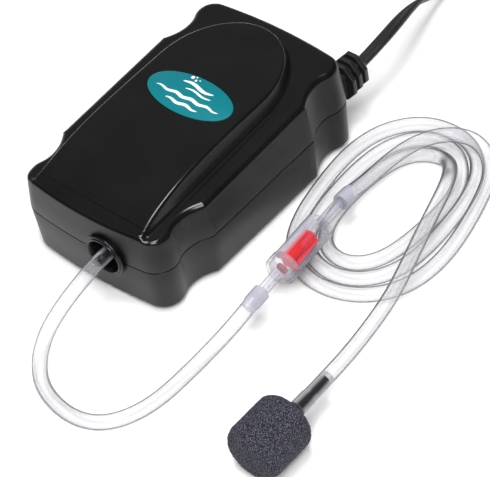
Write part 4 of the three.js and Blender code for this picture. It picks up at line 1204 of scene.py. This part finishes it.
def plug():
    stations = [
        (0, 3.6, 2.8), (-0.6, 3.9, 3.1), (-2, 3.9, 3.1), (-2.3, 3.4, 2.6), (-3.3, 3.4, 2.6),
        (-3.6, 4.2, 3.3), (-6, 4.6, 3.6), (-8, 6.6, 4.6), (-10.5, 9.6, 5.9), (-13.5, 11.2, 6.4),
        (-16, 11.5, 6.5), (-22.5, 11.5, 6.5), (-23.4, 11.2, 6.2), (-PLUG_LENGTH, 10.6, 5.6),
    ]
    body = loft([plug_slice(*station) for station in stations])
    parts = [piece("mains_plug", body, "rubber", "plug", "plug_body", crease=50)]
    face = PLUG_REAR[1] - PLUG_LENGTH - 0.3
    hole = [(0, -2), (1.6, -2), (1.6, 2), (0, 2)]
    for i, side in enumerate((-1, 1), 1):
        x = PLUG_REAR[0] + side * BLADE_OFFSET
        rings = [
            [(x + a * half_x, face - y, PLUG_Z + b * half_z) for a, b in ((-1, -1), (1, -1), (1, 1), (-1, 1))]
            for y, half_x, half_z in ((0, 0.75, 3.15), (15.6, 0.75, 3.15), (16.6, 0.6, 2.6), (17, 0.35, 2.1))
        ]
        blade = piece(f"mains_blade_{i}", loft(rings), "brass", "plug_blades", f"plug_blade_{i}")
        boolean(blade, turned(hole, (x, face - 12.2, PLUG_Z), (1, 0, 0), 24))
        shade(blade)
        parts.append(blade)
    return parts


# ---- check valve
VALVE_FACING = Vector((0.549, 0.044, 0.8345))


def bill(outline, half_thickness):
    """A flat shape on the valve's axis, from a line of (sideways, along) points."""
    sideways = VALVE_AXIS.cross(VALVE_FACING)
    rings = []
    for inset, level in ((0.25, -1), (0, -0.75), (0, 0.75), (0.25, 1)):
        lift = VALVE_FACING * (level * half_thickness)
        rings.append([
            tuple(VALVE_LOW_END + sideways * (u - math.copysign(inset, u)) + VALVE_AXIS * d + lift)
            for u, d in outline
        ])
    return loft(rings)


def on_axis(profile, softness, sides):
    """A round body on the valve's axis."""
    return turned(rounded(profile, softness), VALVE_LOW_END, VALVE_AXIS, sides)


def frosted_neck(body, start):
    """Gives the part of the clear body beyond a distance along its axis the cap's look."""
    body.data.materials.append(M["barb"])
    foot = place(*VALVE_LOW_END)
    for polygon in body.data.polygons:
        if (polygon.center - foot).dot(VALVE_AXIS) > start * MM:
            polygon.material_index = 1


def valve_housing():
    cap = [
        (1, -17.6), (1.4, -17.6), (1.9, -15.6), (1.9, -10.8), (2.3, -10.1), (2.3, 0), (5.2, 0),
        (6.35, 1.0), (6.35, 5.7), (5.3, 5.7), (5.3, 1.6), (2.2, 1.6), (2.2, 2.4), (1, 2.4), (1, -17.6),
    ]
    body = [
        (6, 6.0), (6, 27.6), (5.2, 28.5), (2.3, 28.5), (2.3, 41.5), (1.9, 42.2), (1.9, 47), (1.4, 49),
        (1, 49), (1, 27.0), (5.2, 27.0), (5.2, 6.0), (6, 6.0),
    ]
    parts = [
        piece("check_valve_cap", on_axis(cap, 0.12, 72), "barb", "valve_clear", "valve_cap"),
        piece("check_valve_body", on_axis(body, 0.3, 72), "clear", "valve_clear", "valve_body"),
    ]
    frosted_neck(parts[1], 28.4)
    return parts


def valve_insert():
    """A flat see-through bill with a solid red core, two tabs, two ridges and a tip."""
    edge = [(-4.3, 6.3), (-3.9, 15), (-3.65, 21.6), (-3.2, 22.4), (-1.9, 22.4), (-1.7, 23.1)]
    cone = edge + [(-u, d) for u, d in reversed(edge)]
    core = on_axis([(0, 6.2), (2.35, 6.2), (2.35, 15), (0, 15)], 0.15, 48)
    tab = [(3.6, 6.1), (5.05, 6.1), (5.05, 6.9), (4.4, 7.9), (3.6, 7.9)]
    ridge = [(1.7, 15.0), (2.3, 15.0), (2.3, 21.4), (1.7, 21.4)]
    flats = []
    for outline in (tab, ridge):
        flats += [bill(outline, 1.5), bill([(-u, d) for u, d in reversed(outline)], 1.5)]
    tip = turned([(0, 15.05), (1.65, 15.05), (1.65, 22.2), (0, 22.2)], VALVE_LOW_END, VALVE_AXIS, 36)
    return [
        piece("check_valve_cone", bill(cone, 1.0), "pink", "valve_red", "valve_insert"),
        piece("check_valve_core", combined(core, *flats), "red", "valve_red"),
        piece("check_valve_tip", tip, "pink", "valve_red"),
    ]


def valve_disc():
    disc = on_axis([(0, 2.7), (2.4, 2.7), (2.4, 3.5), (0, 3.5)], 0.2, 48)
    piece("check_valve_disc", disc, "red", "valve_red", "valve_flap", body="check_valve_flap")


# ---- air stone
STONE_FACE = (111.6, -74.6, 10)
STONE_STEP = 0.45
STONE_SUNK = 0.12


def air_stone():
    """A block with a rough skin, and the barbed neck that its hose is pushed over."""
    centre = Vector(STONE_FACE)
    profile = [
        (0, 0.5), (9.2, 0.5), (10.1, 0.8), (11.4, 2.3), (11.9, 3.6), (11.95, 19.6), (11.3, 22.0),
        (9.9, 23.6), (7.6, 24.3), (0, 24.4),
    ]
    spread_out = []
    for (r0, d0), (r1, d1) in zip(profile, profile[1:]):
        steps = max(1, round(math.hypot(r1 - r0, d1 - d0) / STONE_STEP))
        spread_out += [(mix(r0, r1, t), mix(d0, d1, t)) for t in shares(steps)[:-1]]
    spread_out.append(profile[-1])
    smooth, faces = turned(spread_out, centre, (0, -1, 0), 150)
    middle = centre + Vector((0, -12.3, 0))
    rough = []
    for point in map(Vector, smooth):
        coarse = 0.13 * noise.noise(point * 0.9)
        fine = 0.16 * noise.noise(point * 2.3 + Vector((7, 3, 1)))
        out = (point - middle).normalized()
        rough.append(tuple(point + out * (coarse + fine - STONE_SUNK)))
    neck = [
        (0.7, 0), (6.7, 0), (6.9, 0.35), (3.1, 2.5), (2.6, 3.1), (1.5, 3.2), (1.5, 18.6), (1.2, 19.8),
        (0.7, 20), (0.7, 0),
    ]
    nozzle = turned(rounded(neck, 0.2), (centre.x, centre.y + 0.3, centre.z), BACKWARDS, 56)
    return [
        piece("air_stone_block", (rough, faces), "stone", "stone", "air_stone", crease=80),
        piece("air_stone_neck", nozzle, "matt", "stone", "stone_nozzle"),
    ]


# ---- diaphragm
DIAPHRAGM_CENTRE = (-11 + GAP, -16, MECHANISM_Z)


def diaphragm():
    """The clamped skirt stays with the chamber; the middle moves with the arm's washers."""
    skirt = [
        (7.2, 0), (10, 0), (10, 1.2), (8, 1.2), (6.6, 3.6), (5.45, 3.6), (5.45, 2.4), (5.8, 2.4), (7.2, 0),
    ]
    middle = [(1.9, 2.4), (4.75, 2.4), (4.75, 3.6), (1.9, 3.6), (1.9, 2.4)]
    shape = turned(rounded(skirt, 0.1), DIAPHRAGM_CENTRE, (1, 0, 0), 48)
    piece("diaphragm_skirt", shape, "seal", "rubber_seal", "diaphragm")
    shape = turned(rounded(middle, 0.1), DIAPHRAGM_CENTRE, (1, 0, 0), 40)
    piece("diaphragm_middle", shape, "seal", "rubber_seal", body="armature")


# ---- CAD nodes that keep their shape
KEPT = {
    "matt": ["filter_cover", "core_bracket"],
    "felt": ["air_filter_felt"],
    "steel": [
        "core_screw_1", "core_screw_2", "pivot_post", "pivot_clip", "armature_arm", "chamber_screw_1",
        "chamber_screw_2", "inner_washer", "outer_washer", "diaphragm_screw",
    ],
    "laminated": ["laminated_core"],
    "ivory": ["coil_bobbin", "chamber_block", "chamber_cover", "diaphragm_clamp"],
    "copper": ["copper_winding"],
    "wire": ["winding_lead_1", "winding_lead_2"],
    "brass": ["pivot_bush"],
    "magnet": ["drive_magnet"],
    "seal": ["chamber_gasket", "inlet_flap", "outlet_flap"],
    "hose": ["air_tube"],
}


def finish_kept_nodes():
    for material, names in KEPT.items():
        for name in names:
            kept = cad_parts[name]
            kept.data.materials.clear()
            kept.data.materials.append(M[material])


# ---- camera, floor and light
AZIMUTH = math.radians(48.168)
ELEVATION = math.radians(46.213)
ROLL = math.radians(10.859)
DISTANCE = 1090.55
AIM_RIGHT = 18.884
AIM_UP = -20.663
FOCAL = 203.37


def camera():
    back = Vector((
        math.sin(AZIMUTH) * math.cos(ELEVATION),
        -math.cos(AZIMUTH) * math.cos(ELEVATION),
        math.sin(ELEVATION),
    ))
    level = Vector((math.cos(AZIMUTH), math.sin(AZIMUTH), 0))
    upright = back.cross(level)
    right = level * math.cos(ROLL) - upright * math.sin(ROLL)
    up = level * math.sin(ROLL) + upright * math.cos(ROLL)
    data = bpy.data.cameras.new("view")
    data.lens = FOCAL
    data.sensor_width = 36
    data.clip_start = 0.05
    data.clip_end = 20
    made = add("view", data)
    spot = place(*(back * DISTANCE + right * AIM_RIGHT + up * AIM_UP))
    made.matrix_world = Matrix.Translation(spot) @ Matrix((right, up, back)).transposed().to_4x4()
    SCENE.camera = made


def floor():
    mesh = bpy.data.meshes.new("floor")
    mesh.from_pydata([(-3, -3, 0), (3, -3, 0), (3, 3, 0), (-3, 3, 0)], [], [(0, 1, 2, 3)])
    material = new_material("floor_white", roughness=0.9, Specular_IOR_Level=0.1)
    coloured(grain(material, 3.0), (0.3, (0.9, 0.9, 0.9)), (0.7, (0.92, 0.92, 0.92)))
    mesh.materials.append(material)
    add("floor", mesh)


def area_light(name, spot, size, power):
    """A rectangular light, in metres and watts, that faces the middle of the object."""
    data = bpy.data.lights.new(name, "AREA")
    data.shape = "RECTANGLE"
    data.size, data.size_y = size
    data.energy = power
    made = add(name, data)
    made.location = spot
    made.rotation_euler = (Vector((0.02, 0, 0)) - Vector(spot)).to_track_quat("-Z", "Y").to_euler()


def light():
    """A soft box near the camera's side, a smaller one overhead and a low one at the back left."""
    world = bpy.data.worlds.new("studio")
    world.use_nodes = True
    SCENE.world = world
    direction = node(world.node_tree, "ShaderNodeTexCoord").outputs["Generated"]
    glow = spread(toward(direction, (-0.58, 0.42, 0.70)), 0.55, 0.95, 0.05, 0.26, "SMOOTHSTEP")
    link(glow, world.node_tree.nodes["Background"].inputs["Color"])
    area_light("camera_side", (0.82, -0.74, 1.55), (0.9, 0.9), 34)
    area_light("overhead", (0.05, 0.0, 1.5), (0.5, 0.5), 15)
    area_light("low_left", (-1.35, 0.72, 0.36), (1.1, 0.2), 1.0)
    SCENE.view_settings.view_transform = "Standard"


# ---- assembly
camera()
floor()
light()
finish_kept_nodes()
outlet_hose, outlet_walk, coil_hose, coil_walk = airline()
lead, lead_walk = mains_lead()
tie = lead_tie()
plug_parts = plug()
valve_parts = valve_housing() + valve_insert()
valve_disc()
stone_parts = air_stone()
upper_shell()
lower_shell()
label()
underside()
outlet()
strain_relief()
diaphragm()
